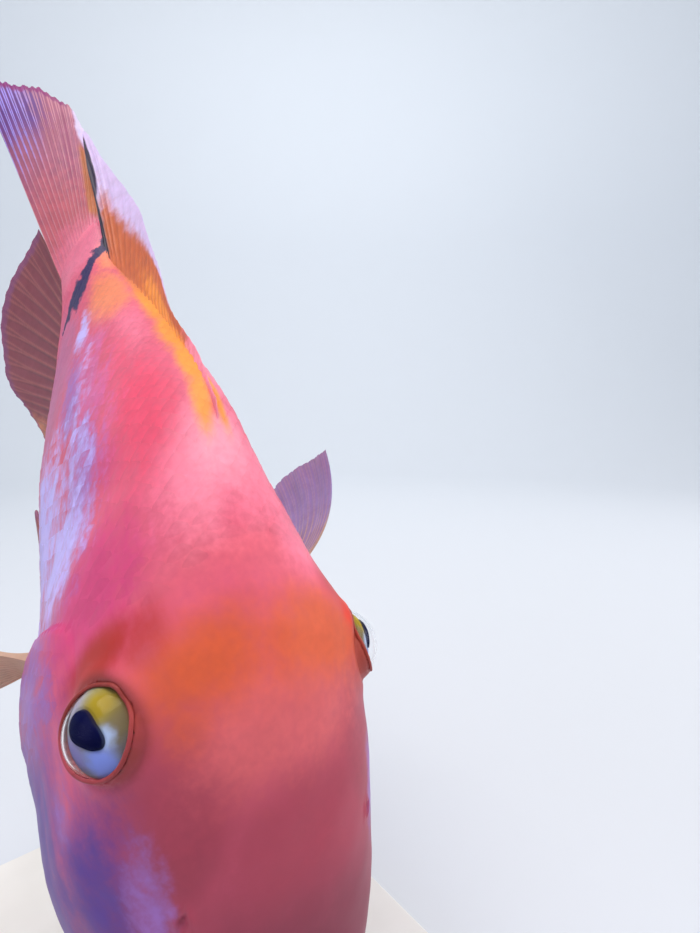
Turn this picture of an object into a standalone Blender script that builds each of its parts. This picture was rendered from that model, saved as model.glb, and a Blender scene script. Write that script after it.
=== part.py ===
"""Redhead cichlid: a still, life-size model held nose down on a plain display stand.

Metres, +Z up. The fish heads along -Y. The origin is the centre of the stand's underside.
The body is drawn straight first, in standard lengths: s runs back from the snout, r to the
fish's right, h up from its axis. Then it is bent, pitched and set at its real size.
"""
import math

import bmesh
import bpy
import numpy as np

# Driving sizes, in metres
STANDARD_LENGTH = 0.220
GAP = 0.0003
BASE_WIDTH = 0.150
BASE_DEPTH = 0.150
BASE_HEIGHT = 0.010
BASE_CORNER = 0.014
BASE_EDGE = 0.0015
ROD_RADIUS = 0.003
EYE_RADIUS = 0.0068
EYE_SINK = 0.0027
ORBIT_RADIUS = 0.0067
ORBIT_THICKNESS = 0.0011
BROW_LIFT = 0.0024
LIP_RADIUS = 0.0027
NOSTRIL_RADIUS = 0.0010
GILL_THICKNESS = 0.0011
GILL_FLARE = 0.0018

# Pose: where the snout's origin is, how far the nose points down, and the body's bend
SNOUT_AT = np.array([0.0, -0.085, 0.075])
NOSE_DOWN = math.radians(39.3)
BEND_START = 0.284
SWING = (-0.586, 0.769)
RISE = 0.314
TWIST = 0.501

# Outline of the straight body, in standard lengths: (s, value)
BACK = ((0, -0.026), (0.04, 0.023), (0.10, 0.090), (0.19, 0.172), (0.30, 0.217), (0.42, 0.226),
        (0.60, 0.182), (0.80, 0.109), (0.93, 0.063), (1, 0.056))
BELLY = ((0, -0.060), (0.04, -0.084), (0.10, -0.107), (0.19, -0.140), (0.30, -0.176),
         (0.42, -0.196), (0.60, -0.186), (0.80, -0.111), (0.93, -0.060), (1, -0.055))
FLANK = ((0, 0.032), (0.04, 0.074), (0.10, 0.104), (0.19, 0.127), (0.30, 0.118), (0.42, 0.091),
         (0.60, 0.072), (0.80, 0.039), (0.93, 0.025), (1, 0.017))
SNOUT_TIP = -0.010
SNOUT_ROUND = 0.030
SIDE_POWER = 0.91
RIDGE_POWER = 1.12
JOWL = 0.12

# Where the body is parted
HEAD_END = 0.33
TAIL_START = 0.80

# Features on the head: s, and the angle round the section from the right side upwards
EYE_AT = (0.221, math.radians(36.3))
BROW_AT = (0.236, math.radians(45))
BROW_SIZE = (0.034, math.radians(19))
NOSTRIL_AT = (0.112, math.radians(46))
MOUTH_CORNER = 0.066
MOUTH_HEIGHT = -0.043
MOUTH_SLOPE = -0.42
GILL_ANGLES = (math.radians(-64), math.radians(26))
ROD_STATIONS = (0.27, 0.50)

# Fin outlines, in standard lengths: (place along the root, s, r, h) of each ray's tip
DORSAL_ROOT = (0.40, 0.935)
DORSAL_TIPS = ((0, 0.425, 0, 0.236), (0.15, 0.52, 0, 0.218), (0.35, 0.66, 0, 0.183),
               (0.55, 0.80, 0, 0.164), (0.70, 0.91, 0, 0.152), (0.80, 1.03, 0, 0.123),
               (0.84, 1.121, 0.004, 0.102), (0.88, 1.20, 0.008, 0.089), (0.94, 1.106, 0.009, 0.071),
               (1, 1.00, 0.009, 0.066))
ANAL_ROOT = (0.66, 0.935)
ANAL_TIPS = ((0, 0.70, 0, -0.186), (0.15, 0.78, 0, -0.211), (0.30, 0.87, 0, -0.250),
             (0.45, 0.945, 0, -0.273), (0.60, 1.03, 0, -0.255), (0.75, 1.085, 0, -0.195),
             (0.88, 1.11, 0, -0.130), (1, 1.125, 0, -0.076))
CAUDAL_TIPS = ((0, 1.219, 0, 0.086), (0.12, 1.244, 0.008, 0.085), (0.25, 1.269, 0.020, 0.080),
               (0.5, 1.301, 0.047, 0.057), (0.75, 1.302, 0.083, 0.029), (1, 1.287, 0.106, 0.004))
PECTORAL_ROOT = (0.370, 0.384)
LEFT_PECTORAL_TIPS = ((0, 0.52, -0.222, 0.113), (0.25, 0.54, -0.235, 0.076),
                      (0.5, 0.565, -0.241, 0.030), (0.75, 0.575, -0.242, -0.020),
                      (1, 0.555, -0.225, -0.072))
RIGHT_PECTORAL_TIPS = ((0, 0.55, 0.234, -0.130), (0.3, 0.535, 0.220, -0.185),
                       (0.6, 0.50, 0.200, -0.235), (1, 0.45, 0.156, -0.258))
PELVIC_ROOT = (0.392, 0.424)
PELVIC_TIPS = ((0, 0.53, 0.040, -0.234), (0.3, 0.665, 0.026, -0.232), (0.65, 0.60, 0.018, -0.224),
               (1, 0.51, 0.014, -0.214))

SKIN_RED = (0.80, 0.16, 0.11)
SKIN_PINK = (0.86, 0.33, 0.34)
FIN_ORANGE = (0.85, 0.36, 0.20)
FIN_ROSE = (0.72, 0.27, 0.28)
EYE_GOLD = (0.62, 0.55, 0.18)
STAND_WHITE = (0.82, 0.81, 0.78)
STEEL = (0.62, 0.62, 0.63)


def smooth(points, x):
    """A curve through the points that never overshoots: cubic pieces whose slope at a point
    is the harmonic mean of the steps beside it."""
    px, py = np.array(points, float).T
    step = np.diff(px)
    rise = np.diff(py) / step
    same = rise[1:] * rise[:-1] > 0
    slope = np.concatenate([rise[:1], np.zeros(len(rise) - 1), rise[-1:]])
    slope[1:-1][same] = (2 * rise[1:] * rise[:-1])[same] / (rise[1:] + rise[:-1])[same]
    x = np.clip(x, px[0], px[-1])
    i = np.clip(np.searchsorted(px, x) - 1, 0, len(step) - 1)
    t = (x - px[i]) / step[i]
    start, end = t * t * (2 * t - 3) + 1, t * t * (3 - 2 * t)
    leave, arrive = t * (1 - t) ** 2, t * t * (t - 1)
    return py[i] * start + py[i + 1] * end + step[i] * (slope[i] * leave + slope[i + 1] * arrive)


def ease(low, high, x):
    """Rises smoothly from 0 at low to 1 at high."""
    t = np.clip((x - low) / (high - low), 0, 1)
    return t * t * (3 - 2 * t)


def unit(v):
    return v / np.maximum(np.linalg.norm(v, axis=-1, keepdims=True), 1e-12)


def bent_axis():
    """The bent centreline: at each s its point, its heading and its lift."""
    s = np.linspace(-0.2, 1.6, 361)
    past = np.clip(s - BEND_START, 0, None)
    heading = SWING[0] * past + SWING[1] * past ** 2
    lift = RISE * past
    way = np.stack([np.cos(heading) * np.cos(lift), np.sin(heading) * np.cos(lift), np.sin(lift)], -1)
    steps = (way[1:] + way[:-1]) / 2 * np.diff(s)[:, None]
    path = np.concatenate([np.zeros((1, 3)), np.cumsum(steps, 0)])
    zero = np.array([np.interp(0, s, path[:, k]) for k in range(3)])
    return s, path - zero


AXIS_S, AXIS_PATH = bent_axis()


def place(p):
    """Straight body coordinates (s, r, h), in standard lengths, to metres in the part's frame."""
    s, r, h = p[..., 0], p[..., 1], p[..., 2]
    past = np.clip(s - BEND_START, 0, None)
    heading = SWING[0] * past + SWING[1] * past ** 2
    lift, twist = RISE * past, TWIST * past
    side = r * np.cos(twist) - h * np.sin(twist)
    rise = r * np.sin(twist) + h * np.cos(twist)
    along, rise = -rise * np.sin(lift), rise * np.cos(lift)
    x, y, z = (np.interp(s, AXIS_S, AXIS_PATH[:, k]) for k in range(3))
    x = x + along * np.cos(heading) - side * np.sin(heading)
    y = y + along * np.sin(heading) + side * np.cos(heading)
    z = z + rise
    c, n = math.cos(NOSE_DOWN), math.sin(NOSE_DOWN)
    return SNOUT_AT + STANDARD_LENGTH * np.stack([-y, x * c - z * n, x * n + z * c], -1)


def section(s, angle):
    """Point of the body's surface at s: a rounded section, sharper along the back and wider
    at the jowl than at the brow, that closes on the snout like a half ellipse."""
    s, angle = np.broadcast_arrays(np.asarray(s, float), np.asarray(angle, float))
    close = np.sqrt(np.clip(1 - np.clip((SNOUT_TIP + SNOUT_ROUND - s) / SNOUT_ROUND, 0, 1) ** 2, 0, 1))
    back, belly = smooth(BACK, s), smooth(BELLY, s)
    c, n = np.cos(angle), np.sin(angle)
    ridge = ease(0, 0.7, n) * ease(0.25, 0.5, s)
    power = SIDE_POWER + (RIDGE_POWER - SIDE_POWER) * ridge
    jowl = 1 - JOWL * n * ease(0.02, 0.19, s) * (1 - ease(0.30, 0.62, s))
    r = smooth(FLANK, s) * close * jowl * np.sign(c) * np.abs(c) ** power
    h = (back + belly) / 2 + (back - belly) / 2 * close * np.sign(n) * np.abs(n) ** SIDE_POWER
    return np.stack([s, r, h], -1)


def outward(s, angle):
    """Normal of the straight body's surface."""
    d = 1e-3
    along = section(s + d, angle) - section(s - d, angle)
    around = section(s, angle + d) - section(s, angle - d)
    return unit(np.cross(around, along))


def skin(s, angle, lift=0.0):
    """Straight coordinates of a point lifted off the surface, lift in metres."""
    return section(s, angle) + outward(s, angle) * (np.asarray(lift)[..., None] / STANDARD_LENGTH)


def angle_at(s, side, height):
    """The angle on the right (side 1) or left (side -1) where the surface has that height."""
    back, belly = smooth(BACK, s), smooth(BELLY, s)
    n = np.clip((height - (back + belly) / 2) / ((back - belly) / 2), -1, 1)
    angle = np.arcsin(np.sign(n) * np.abs(n) ** (1 / SIDE_POWER))
    return angle if side > 0 else math.pi - angle


def finish_object(name, bm, colour, roughness=0.45, metallic=0.0):
    """Makes the object, its faces pointing outwards, with its own material."""
    bmesh.ops.recalc_face_normals(bm, faces=bm.faces)
    if bm.calc_volume(signed=True) < 0:
        bmesh.ops.reverse_faces(bm, faces=bm.faces)
    mesh = bpy.data.meshes.new(name)
    bm.to_mesh(mesh)
    bm.free()
    mesh.shade_smooth()
    mesh.set_sharp_from_angle(angle=math.radians(40))
    material = bpy.data.materials.new(name)
    material.use_nodes = True
    shader = material.node_tree.nodes["Principled BSDF"]
    shader.inputs["Base Color"].default_value = (*colour, 1)
    shader.inputs["Roughness"].default_value = roughness
    shader.inputs["Metallic"].default_value = metallic
    mesh.materials.append(material)
    obj = bpy.data.objects.new(name, mesh)
    bpy.context.scene.collection.objects.link(obj)
    return obj


def shell(points, faces):
    bm = bmesh.new()
    verts = [bm.verts.new(p) for p in points]
    for face in faces:
        bm.faces.new([verts[i] for i in face])
    return bm


def loft(rings, tip=None):
    """A closed body through rings of points: a flat cap at the end, and at the start a flat
    cap or a fan to the tip."""
    count, around = rings.shape[:2]
    points = list(rings.reshape(-1, 3))
    faces = []
    for i in range(count - 1):
        for j in range(around):
            k = (j + 1) % around
            a, b, c, d = i * around + j, i * around + k, (i + 1) * around + k, (i + 1) * around + j
            faces += [(a, b, c), (a, c, d)]
    if tip is None:
        faces.append(tuple(range(around)))
    else:
        points.append(tip)
        faces += [(len(points) - 1, (j + 1) % around, j) for j in range(around)]
    faces.append(tuple(reversed(range((count - 1) * around, count * around))))
    bm = shell(points, faces)
    bmesh.ops.triangulate(bm, faces=[f for f in bm.faces if len(f.verts) > 3])
    return bm


def sheet(front, back):
    """A thin closed body from two grids of points, split into triangles alike on both faces,
    with a rim of triangles all round."""
    rows, cols = front.shape[:2]
    points = list(front.reshape(-1, 3)) + list(back.reshape(-1, 3))
    far = rows * cols
    faces = []
    for i in range(rows - 1):
        for j in range(cols - 1):
            a, b, c, d = i * cols + j, i * cols + j + 1, (i + 1) * cols + j + 1, (i + 1) * cols + j
            for tri in ((a, b, c), (a, c, d)):
                faces += [tri, tuple(far + k for k in reversed(tri))]
    rim = [(0, j) for j in range(cols)] + [(i, cols - 1) for i in range(1, rows)]
    rim += [(rows - 1, j) for j in reversed(range(cols - 1))] + [(i, 0) for i in range(rows - 2, 0, -1)]
    edge = [i * cols + j for i, j in rim]
    for a, b in zip(edge, edge[1:] + edge[:1]):
        faces += [(b, a, far + a), (b, far + a, far + b)]
    return shell(points, faces)


def tube(path, radius, sides=8):
    """A closed tube along a path of points, its radius given at each point."""
    way = unit(np.gradient(path, axis=0))
    across = unit(np.cross(way, np.array([0.3, 0.2, 1.0])))
    over = np.cross(across, way)
    turn = np.linspace(0, 2 * math.pi, sides, endpoint=False)[None, :, None]
    ring = across[:, None] * np.cos(turn) + over[:, None] * np.sin(turn)
    return loft(path[:, None] + ring * radius[:, None, None])


def ball(centre, radius, segments, rings):
    bm = bmesh.new()
    bmesh.ops.create_uvsphere(bm, u_segments=segments, v_segments=rings, radius=radius)
    for v in bm.verts:
        v.co = v.co + type(v.co)(centre)
    bmesh.ops.triangulate(bm, faces=bm.faces)
    return bm


def ring_torus(centre, axis, major, minor, around=24, sides=7):
    """A torus about an axis, as one closed band."""
    side = unit(np.cross(axis, np.array([0.0, 0.0, 1.0])))
    up = np.cross(side, axis)
    turn = np.linspace(0, 2 * math.pi, around, endpoint=False)
    roll = np.linspace(0, 2 * math.pi, sides, endpoint=False)
    spoke = np.cos(turn)[:, None] * side + np.sin(turn)[:, None] * up
    ring = spoke[:, None] * (major + minor * np.cos(roll))[None, :, None]
    points = (centre + ring + axis * (minor * np.sin(roll))[None, :, None]).reshape(-1, 3)
    faces = []
    for i in range(around):
        for j in range(sides):
            k, m = (i + 1) % around, (j + 1) % sides
            a, b, c, d = i * sides + j, k * sides + j, k * sides + m, i * sides + m
            faces += [(a, b, c), (a, c, d)]
    return shell(points, faces)


def combine(obj, shapes, operation):
    """Joins shapes to an object, or cuts them from it, with one Boolean on a collection."""
    group = bpy.data.collections.new("shapes")
    bpy.context.scene.collection.children.link(group)
    for index, bm in enumerate(shapes):
        piece = finish_object(f"shape_{index}", bm, SKIN_RED)
        bpy.context.scene.collection.objects.unlink(piece)
        group.objects.link(piece)
    boolean = obj.modifiers.new(operation, "BOOLEAN")
    boolean.operation = operation
    boolean.operand_type = "COLLECTION"
    boolean.collection = group
    boolean.solver = "EXACT"
    result = bpy.data.meshes.new_from_object(obj.evaluated_get(bpy.context.evaluated_depsgraph_get()))
    obj.modifiers.clear()
    obj.data = result
    for piece in list(group.objects):
        bpy.data.objects.remove(piece)
    bpy.data.collections.remove(group)


def keep_largest(obj):
    """Drops every loose scrap and sealed hollow: only the largest closed surface stays."""
    bm = bmesh.new()
    bm.from_mesh(obj.data)
    left = set(bm.verts)
    islands = []
    while left:
        reach = [left.pop()]
        island = set(reach)
        while reach:
            for edge in reach.pop().link_edges:
                for v in edge.verts:
                    if v in left:
                        left.remove(v)
                        island.add(v)
                        reach.append(v)
        islands.append(island)
    islands.sort(key=len)
    for island in islands[:-1]:
        bmesh.ops.delete(bm, geom=list(island), context="VERTS")
    bmesh.ops.triangulate(bm, faces=bm.faces)
    bm.to_mesh(obj.data)
    bm.free()


def brow(s, angle):
    """Lift of the flesh above and behind each eye, in metres: a low round mound."""
    lift = 0.0
    for centre in (BROW_AT[1], math.pi - BROW_AT[1]):
        across = np.abs((angle - centre + math.pi) % (2 * math.pi) - math.pi) / BROW_SIZE[1]
        lift = lift + BROW_LIFT * np.exp(-((s - BROW_AT[0]) / BROW_SIZE[0]) ** 2 - across ** 2)
    return lift


def body_rings(stations, around, lift=0.0):
    turn = np.linspace(0, 2 * math.pi, around, endpoint=False)
    s, angle = np.meshgrid(stations, turn, indexing="ij")
    return place(skin(s, angle, brow(s, angle) + lift))


def eye_frame(side):
    """The eyeball's centre and the direction it looks in, in metres."""
    angle = EYE_AT[1] if side > 0 else math.pi - EYE_AT[1]
    surface = place(skin(EYE_AT[0], angle, brow(EYE_AT[0], angle)))
    look = unit(place(skin(EYE_AT[0], angle, 0.010)) - place(skin(EYE_AT[0], angle)))
    return surface - look * EYE_SINK, surface, look


def mouth_line():
    """The line of the mouth, round the snout from the right corner to the left: where a
    plane that falls towards the back meets the surface."""
    turn = np.linspace(-1, 1, 19)
    tip = SNOUT_TIP + 0.0012
    s = tip + (MOUTH_CORNER - tip) * (1 - np.cos(np.abs(turn) * math.pi / 2))
    height = MOUTH_HEIGHT + MOUTH_SLOPE * np.clip(s, 0, None)
    close = np.sqrt(1 - np.clip((SNOUT_TIP + SNOUT_ROUND - s) / SNOUT_ROUND, 0, 1) ** 2)
    back, belly = smooth(BACK, s), smooth(BELLY, s)
    share = np.clip((height - (back + belly) / 2) / ((back - belly) / 2 * close), -0.9, 0.9)
    width = smooth(FLANK, s) * close * (1 - np.abs(share) ** 2.2) ** (1 / 2.2)
    line = np.stack([s, -np.sign(turn) * width, height], -1)
    middle = np.abs(turn) < 1e-6
    line[middle, 1] = 0
    out = np.gradient(line, axis=0)
    out = unit(np.stack([-np.abs(out[:, 1]), -np.sign(turn) * np.abs(out[:, 0]), 0 * s], -1))
    return line, out


def make_head():
    stations = SNOUT_TIP + 0.0006 + (HEAD_END - SNOUT_TIP - 0.0006) * np.linspace(0, 1, 18) ** 1.5
    tip = place(section(SNOUT_TIP, 0.0))
    head = finish_object("head", loft(body_rings(stations, 44), tip), SKIN_RED)
    line, out = mouth_line()
    fade = np.sqrt(np.clip(1 - np.abs(np.linspace(-1, 1, len(line))) ** 4, 0.12, 1))
    step = LIP_RADIUS * 0.95 / STANDARD_LENGTH
    upper = line + out * step * 0.25 + np.array([0, 0, step]) * fade[:, None]
    lower = line + out * step * 0.10 - np.array([0, 0, step]) * fade[:, None]
    joined = [tube(place(upper), LIP_RADIUS * fade), tube(place(lower), LIP_RADIUS * fade)]
    for side in (1, -1):
        _, surface, look = eye_frame(side)
        joined.append(ring_torus(surface, look, ORBIT_RADIUS, ORBIT_THICKNESS))
    combine(head, joined, "UNION")
    cuts = [mouth_slot(line, out)]
    for side in (1, -1):
        centre, _, _ = eye_frame(side)
        cuts.append(ball(centre, EYE_RADIUS + GAP, 20, 12))
        angle = NOSTRIL_AT[1] if side > 0 else math.pi - NOSTRIL_AT[1]
        cuts.append(ball(place(skin(NOSTRIL_AT[0], angle, 0.0002)), NOSTRIL_RADIUS, 8, 6))
    combine(head, cuts, "DIFFERENCE")
    keep_largest(head)


def mouth_slot(line, out):
    """A thin wedge along the line of the mouth, wide outside and closing inside."""
    outer = line + out * (0.006 / STANDARD_LENGTH)
    inner = line - out * (0.0035 / STANDARD_LENGTH)
    up = np.array([0, 0, 1.0]) / STANDARD_LENGTH
    ring = [outer + up * 0.00055, outer - up * 0.00055, inner - up * 0.0002, inner + up * 0.0002]
    return loft(place(np.stack(ring, 1)))


def make_torso():
    stations = np.linspace(HEAD_END + GAP / STANDARD_LENGTH, TAIL_START, 13)
    finish_object("torso", loft(body_rings(stations, 40)), SKIN_PINK)


def make_tail():
    stations = np.linspace(TAIL_START + GAP / STANDARD_LENGTH, 1.0, 7)
    finish_object("tail", loft(body_rings(stations, 32)), SKIN_PINK)


def make_eye(side, name):
    centre, _, _ = eye_frame(side)
    finish_object(name, ball(centre, EYE_RADIUS, 20, 12), EYE_GOLD, 0.15)


def make_gill_cover(side, name):
    """The gill cover: a flap over the cheek, fixed in front and standing off at the rear."""
    b, a = np.meshgrid(np.linspace(0, 1, 11), np.linspace(0, 1, 9), indexing="ij")
    round_edge = np.sin(math.pi * b) ** 0.8
    s = (0.258 - 0.028 * round_edge) * (1 - a) + (0.298 + 0.058 * round_edge) * a
    angle = GILL_ANGLES[0] + (GILL_ANGLES[1] - GILL_ANGLES[0]) * b
    if side < 0:
        angle = math.pi - angle
    low = GAP + brow(s, angle) + GILL_FLARE * a ** 3 * round_edge
    thick = GILL_THICKNESS * (0.5 + 0.5 * np.sin(math.pi * a) ** 0.5 * np.sin(math.pi * b) ** 0.5)
    finish_object(name, sheet(place(skin(s, angle, low + thick)), place(skin(s, angle, low))), SKIN_RED)


def tips_of(table, t):
    table = np.array(table, float)
    return np.stack([smooth(table[:, (0, k)], t) for k in (1, 2, 3)], -1)


def make_fin(name, roots, tips, rays, rows, colour, flesh=None, bow=(0, 0, 0),
             ray=0.0008, web=0.00032, edge=0.00026, notch=0.03):
    """A fan of rays. Each ray is a ridge raised on both faces of the membrane, tall at its
    root and fading to the tip, and the membrane between draws back a little at the edge."""
    t = np.linspace(0, 1, 2 * rays - 1)
    v = np.linspace(0, 1, rows + 1)[:, None]
    on_ray = (np.arange(len(t)) % 2 == 0)[None, :]
    reach = v * np.where(on_ray, 1, 1 - notch)
    start, end = roots(t), tips_of(tips, t)
    arch = (4 * reach * (1 - reach))[..., None] * np.array(bow)
    middle = place(start + (end - start) * reach[..., None] + arch)
    across = np.gradient(middle, axis=1)
    along = np.gradient(middle, axis=0)
    normal = unit(np.cross(across, along))
    half = np.where(on_ray, ray + (edge - ray) * v, web + (edge - web) * v)[..., None]
    front, back = middle + normal * half, middle - normal * half
    if flesh is not None:
        at, out = flesh(t)
        for face in (front, back):
            height = np.sum((face[0] - at) * out, -1, keepdims=True)
            face[0] += (GAP - height) * out
    finish_object(name, sheet(front, back), colour)


def median_root(span, angle):
    """Root line of a fin along the back or the belly."""
    def roots(t):
        s = span[0] + (span[1] - span[0]) * t
        return skin(s, np.full(s.shape, angle), np.full(s.shape, GAP))
    return roots


def flank_root(span, heights, side):
    """Root line of a paired fin on the flank, and the flesh below it."""
    def where(t, lift):
        s = span[0] + (span[1] - span[0]) * t
        angle = angle_at(s, side, heights[0] + (heights[1] - heights[0]) * t)
        return skin(s, angle, np.full(s.shape, lift))

    def roots(t):
        return where(t, GAP)

    def flesh(t):
        at = place(where(t, 0.0))
        return at, unit(place(where(t, 0.005)) - at)
    return roots, flesh


def make_fins():
    make_fin("dorsal_fin", median_root(DORSAL_ROOT, math.pi / 2), DORSAL_TIPS, 30, 6, FIN_ORANGE)
    make_fin("anal_fin", median_root(ANAL_ROOT, -math.pi / 2), ANAL_TIPS, 20, 6, FIN_ROSE)

    def caudal_root(t):
        height = smooth(((0, 0.046), (1, -0.045)), t)
        return np.stack([np.full(t.shape, 1 + GAP / STANDARD_LENGTH), 0 * t, height], -1)
    make_fin("caudal_fin", caudal_root, CAUDAL_TIPS, 16, 7, FIN_ROSE)
    for side, name, tips, bow in ((1, "right", RIGHT_PECTORAL_TIPS, (-0.015, 0.02, -0.01)),
                                  (-1, "left", LEFT_PECTORAL_TIPS, (-0.035, -0.045, 0.01))):
        roots, flesh = flank_root(PECTORAL_ROOT, (-0.055, -0.100), side)
        make_fin(f"pectoral_fin_{name}", roots, tips, 13, 6, FIN_ORANGE, flesh, bow, ray=0.0006)
        roots, flesh = flank_root(PELVIC_ROOT, (-0.176, -0.184), side)
        mirrored = [(t, s, r * side, h) for t, s, r, h in PELVIC_TIPS]
        make_fin(f"pelvic_fin_{name}", roots, mirrored, 6, 5, FIN_ROSE, flesh, ray=0.0007)


def make_base():
    corners = []
    for cx, cy, start in ((1, 1, 0), (-1, 1, 90), (-1, -1, 180), (1, -1, 270)):
        for turn in np.linspace(0, 90, 7):
            angle = math.radians(start + turn)
            corners.append((cx * (BASE_WIDTH / 2 - BASE_CORNER) + BASE_CORNER * math.cos(angle),
                            cy * (BASE_DEPTH / 2 - BASE_CORNER) + BASE_CORNER * math.sin(angle)))
    outline = np.array(corners)
    shrink = 1 - 2 * BASE_EDGE / np.array([BASE_WIDTH, BASE_DEPTH])
    levels = ((0, outline), (BASE_HEIGHT - BASE_EDGE, outline), (BASE_HEIGHT, outline * shrink))
    rings = np.stack([np.column_stack([ring, np.full(len(ring), z)]) for z, ring in levels])
    finish_object("stand_base", loft(rings), STAND_WHITE, 0.4)


def make_rod(name, station):
    """A round rod from the base up to the belly, its top shaped to the flesh."""
    foot = place(skin(station, -math.pi / 2, 0.0))
    turn = np.linspace(0, 2 * math.pi, 16, endpoint=False)
    circle = np.column_stack([foot[0] + ROD_RADIUS * np.cos(turn), foot[1] + ROD_RADIUS * np.sin(turn)])
    levels = (BASE_HEIGHT + GAP, foot[2] + 0.012)
    rings = np.stack([np.column_stack([circle, np.full(len(circle), z)]) for z in levels])
    rod = finish_object(name, loft(rings), STEEL, 0.3, 1.0)
    flesh = loft(body_rings(np.linspace(0.08, 0.75, 40), 80, GAP))
    combine(rod, [flesh], "DIFFERENCE")
    keep_largest(rod)


def main():
    for obj in list(bpy.data.objects):
        bpy.data.objects.remove(obj)
    make_head()
    make_torso()
    make_tail()
    for side, name in ((1, "right"), (-1, "left")):
        make_eye(side, f"eye_{name}")
        make_gill_cover(side, f"gill_cover_{name}")
    make_fins()
    make_base()
    for name, station in zip(("stand_rod_front", "stand_rod_rear"), ROD_STATIONS):
        make_rod(name, station)


main()
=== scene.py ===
"""Looks of the redhead cichlid display model: its skin, scales, eyes, fins, stand and studio.

Metres, +Z up, in the frame's own axes. The body is worked out straight, as in the solids: s runs
back from the snout, r to the fish's right and h up, in standard lengths, and the angle round a
section is 0 on the right side, 90 degrees on the back and -90 under the belly.
"""
import math

import bpy
import numpy as np
from mathutils import Euler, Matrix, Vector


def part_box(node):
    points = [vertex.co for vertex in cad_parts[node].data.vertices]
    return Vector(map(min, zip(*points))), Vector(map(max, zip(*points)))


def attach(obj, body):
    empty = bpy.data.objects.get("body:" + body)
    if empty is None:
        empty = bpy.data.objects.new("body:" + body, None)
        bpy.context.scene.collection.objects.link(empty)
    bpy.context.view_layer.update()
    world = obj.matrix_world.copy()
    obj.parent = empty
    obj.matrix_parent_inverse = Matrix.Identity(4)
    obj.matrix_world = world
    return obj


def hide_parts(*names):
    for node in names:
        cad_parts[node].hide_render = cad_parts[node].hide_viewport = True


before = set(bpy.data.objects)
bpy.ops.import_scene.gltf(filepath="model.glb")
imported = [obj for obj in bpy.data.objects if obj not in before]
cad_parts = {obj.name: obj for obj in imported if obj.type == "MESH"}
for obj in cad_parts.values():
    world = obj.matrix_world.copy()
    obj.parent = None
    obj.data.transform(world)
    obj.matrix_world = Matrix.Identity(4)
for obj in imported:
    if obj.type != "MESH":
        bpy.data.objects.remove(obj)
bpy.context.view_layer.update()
MM = 0.001
DEG = math.pi / 180

# Driving sizes of the body, the same as in the solids
STANDARD_LENGTH = 0.220
SNOUT_AT = np.array([0.0, -0.085, 0.075])
NOSE_DOWN = 39.3 * DEG
BEND_START = 0.284
SWING = (-0.586, 0.769)
RISE = 0.314
TWIST = 0.501
BACK = ((0, -0.026), (0.04, 0.023), (0.10, 0.090), (0.19, 0.172), (0.30, 0.217), (0.42, 0.226),
        (0.60, 0.182), (0.80, 0.109), (0.93, 0.063), (1, 0.056), (1.02, 0.053))
BELLY = ((0, -0.060), (0.04, -0.084), (0.10, -0.107), (0.19, -0.140), (0.30, -0.176),
         (0.42, -0.196), (0.60, -0.186), (0.80, -0.111), (0.93, -0.060), (1, -0.055), (1.02, -0.052))
FLANK = ((0, 0.032), (0.04, 0.074), (0.10, 0.104), (0.19, 0.127), (0.30, 0.118), (0.42, 0.091),
         (0.60, 0.072), (0.80, 0.039), (0.93, 0.025), (0.985, 0.0155), (1.02, 0.004))
SNOUT_TIP = -0.010
SNOUT_ROUND = 0.030
SNOUT_SOFT = 0.010
TAIL_END = 1.02
SIDE_POWER = 0.91
RIDGE_POWER = 1.12
JOWL = 0.12

# Features on the head: s and angle, with sizes in metres
EYE_AT = (0.221, 36.3 * DEG)
BROW_AT = (0.236, 45 * DEG)
BROW_SIZE = (0.034, 19 * DEG)
BROW_LIFT = 2.4 * MM
EYE_RADIUS = 6.8 * MM
EYE_SINK = 2.7 * MM
ORBIT_RADIUS = 6.7 * MM
EYE_OPEN = 65 * DEG
LID_EDGE = 0.33 * MM
SOCKET_DEPTH = 3.4 * MM
NOSTRIL_AT = (0.112, 46 * DEG)
NOSTRIL_RADIUS = 0.8 * MM
MOUTH_CORNER = 0.066
MOUTH_HEIGHT = -0.043
MOUTH_SLOPE = -0.42
LIP_HEIGHT = 1.7 * MM
GILL_ANGLES = (-64 * DEG, 26 * DEG)
GILL_FRONT = 0.225
GILL_REAR = (0.298, 0.058)
GILL_LIFT = 1.6 * MM
COAT_DEPTH = 0.2 * MM

# How deep a fin's root lies in the flesh, half a fin's thickness between its rays, and a ray's
# half width in ray spacings
FIN_SINK = 0.8 * MM
FIN_WEB = 0.13 * MM
RAY_WIDTH = 0.17

# Fin roots and outlines, the same as in the solids: (place along the root, s, r, h) of ray tips
DORSAL_ROOT = (0.40, 0.935)
DORSAL_TIPS = ((0, 0.425, 0, 0.236), (0.15, 0.52, 0, 0.218), (0.35, 0.66, 0, 0.183),
               (0.55, 0.80, 0, 0.164), (0.70, 0.91, 0, 0.152), (0.80, 1.03, 0, 0.123),
               (0.84, 1.121, 0.004, 0.102), (0.88, 1.20, 0.008, 0.089), (0.94, 1.106, 0.009, 0.071),
               (1, 1.00, 0.009, 0.066))
ANAL_ROOT = (0.66, 0.935)
ANAL_TIPS = ((0, 0.70, 0, -0.186), (0.15, 0.78, 0, -0.211), (0.30, 0.87, 0, -0.250),
             (0.45, 0.945, 0, -0.273), (0.60, 1.03, 0, -0.255), (0.75, 1.085, 0, -0.195),
             (0.88, 1.11, 0, -0.130), (1, 1.125, 0, -0.076))
CAUDAL_ROOT = (0.990, 0.046, -0.045)
CAUDAL_TIPS = ((0, 1.219, 0, 0.086), (0.12, 1.244, 0.008, 0.085), (0.25, 1.269, 0.020, 0.080),
               (0.5, 1.301, 0.047, 0.057), (0.75, 1.302, 0.083, 0.029), (1, 1.287, 0.106, 0.004))
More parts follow.
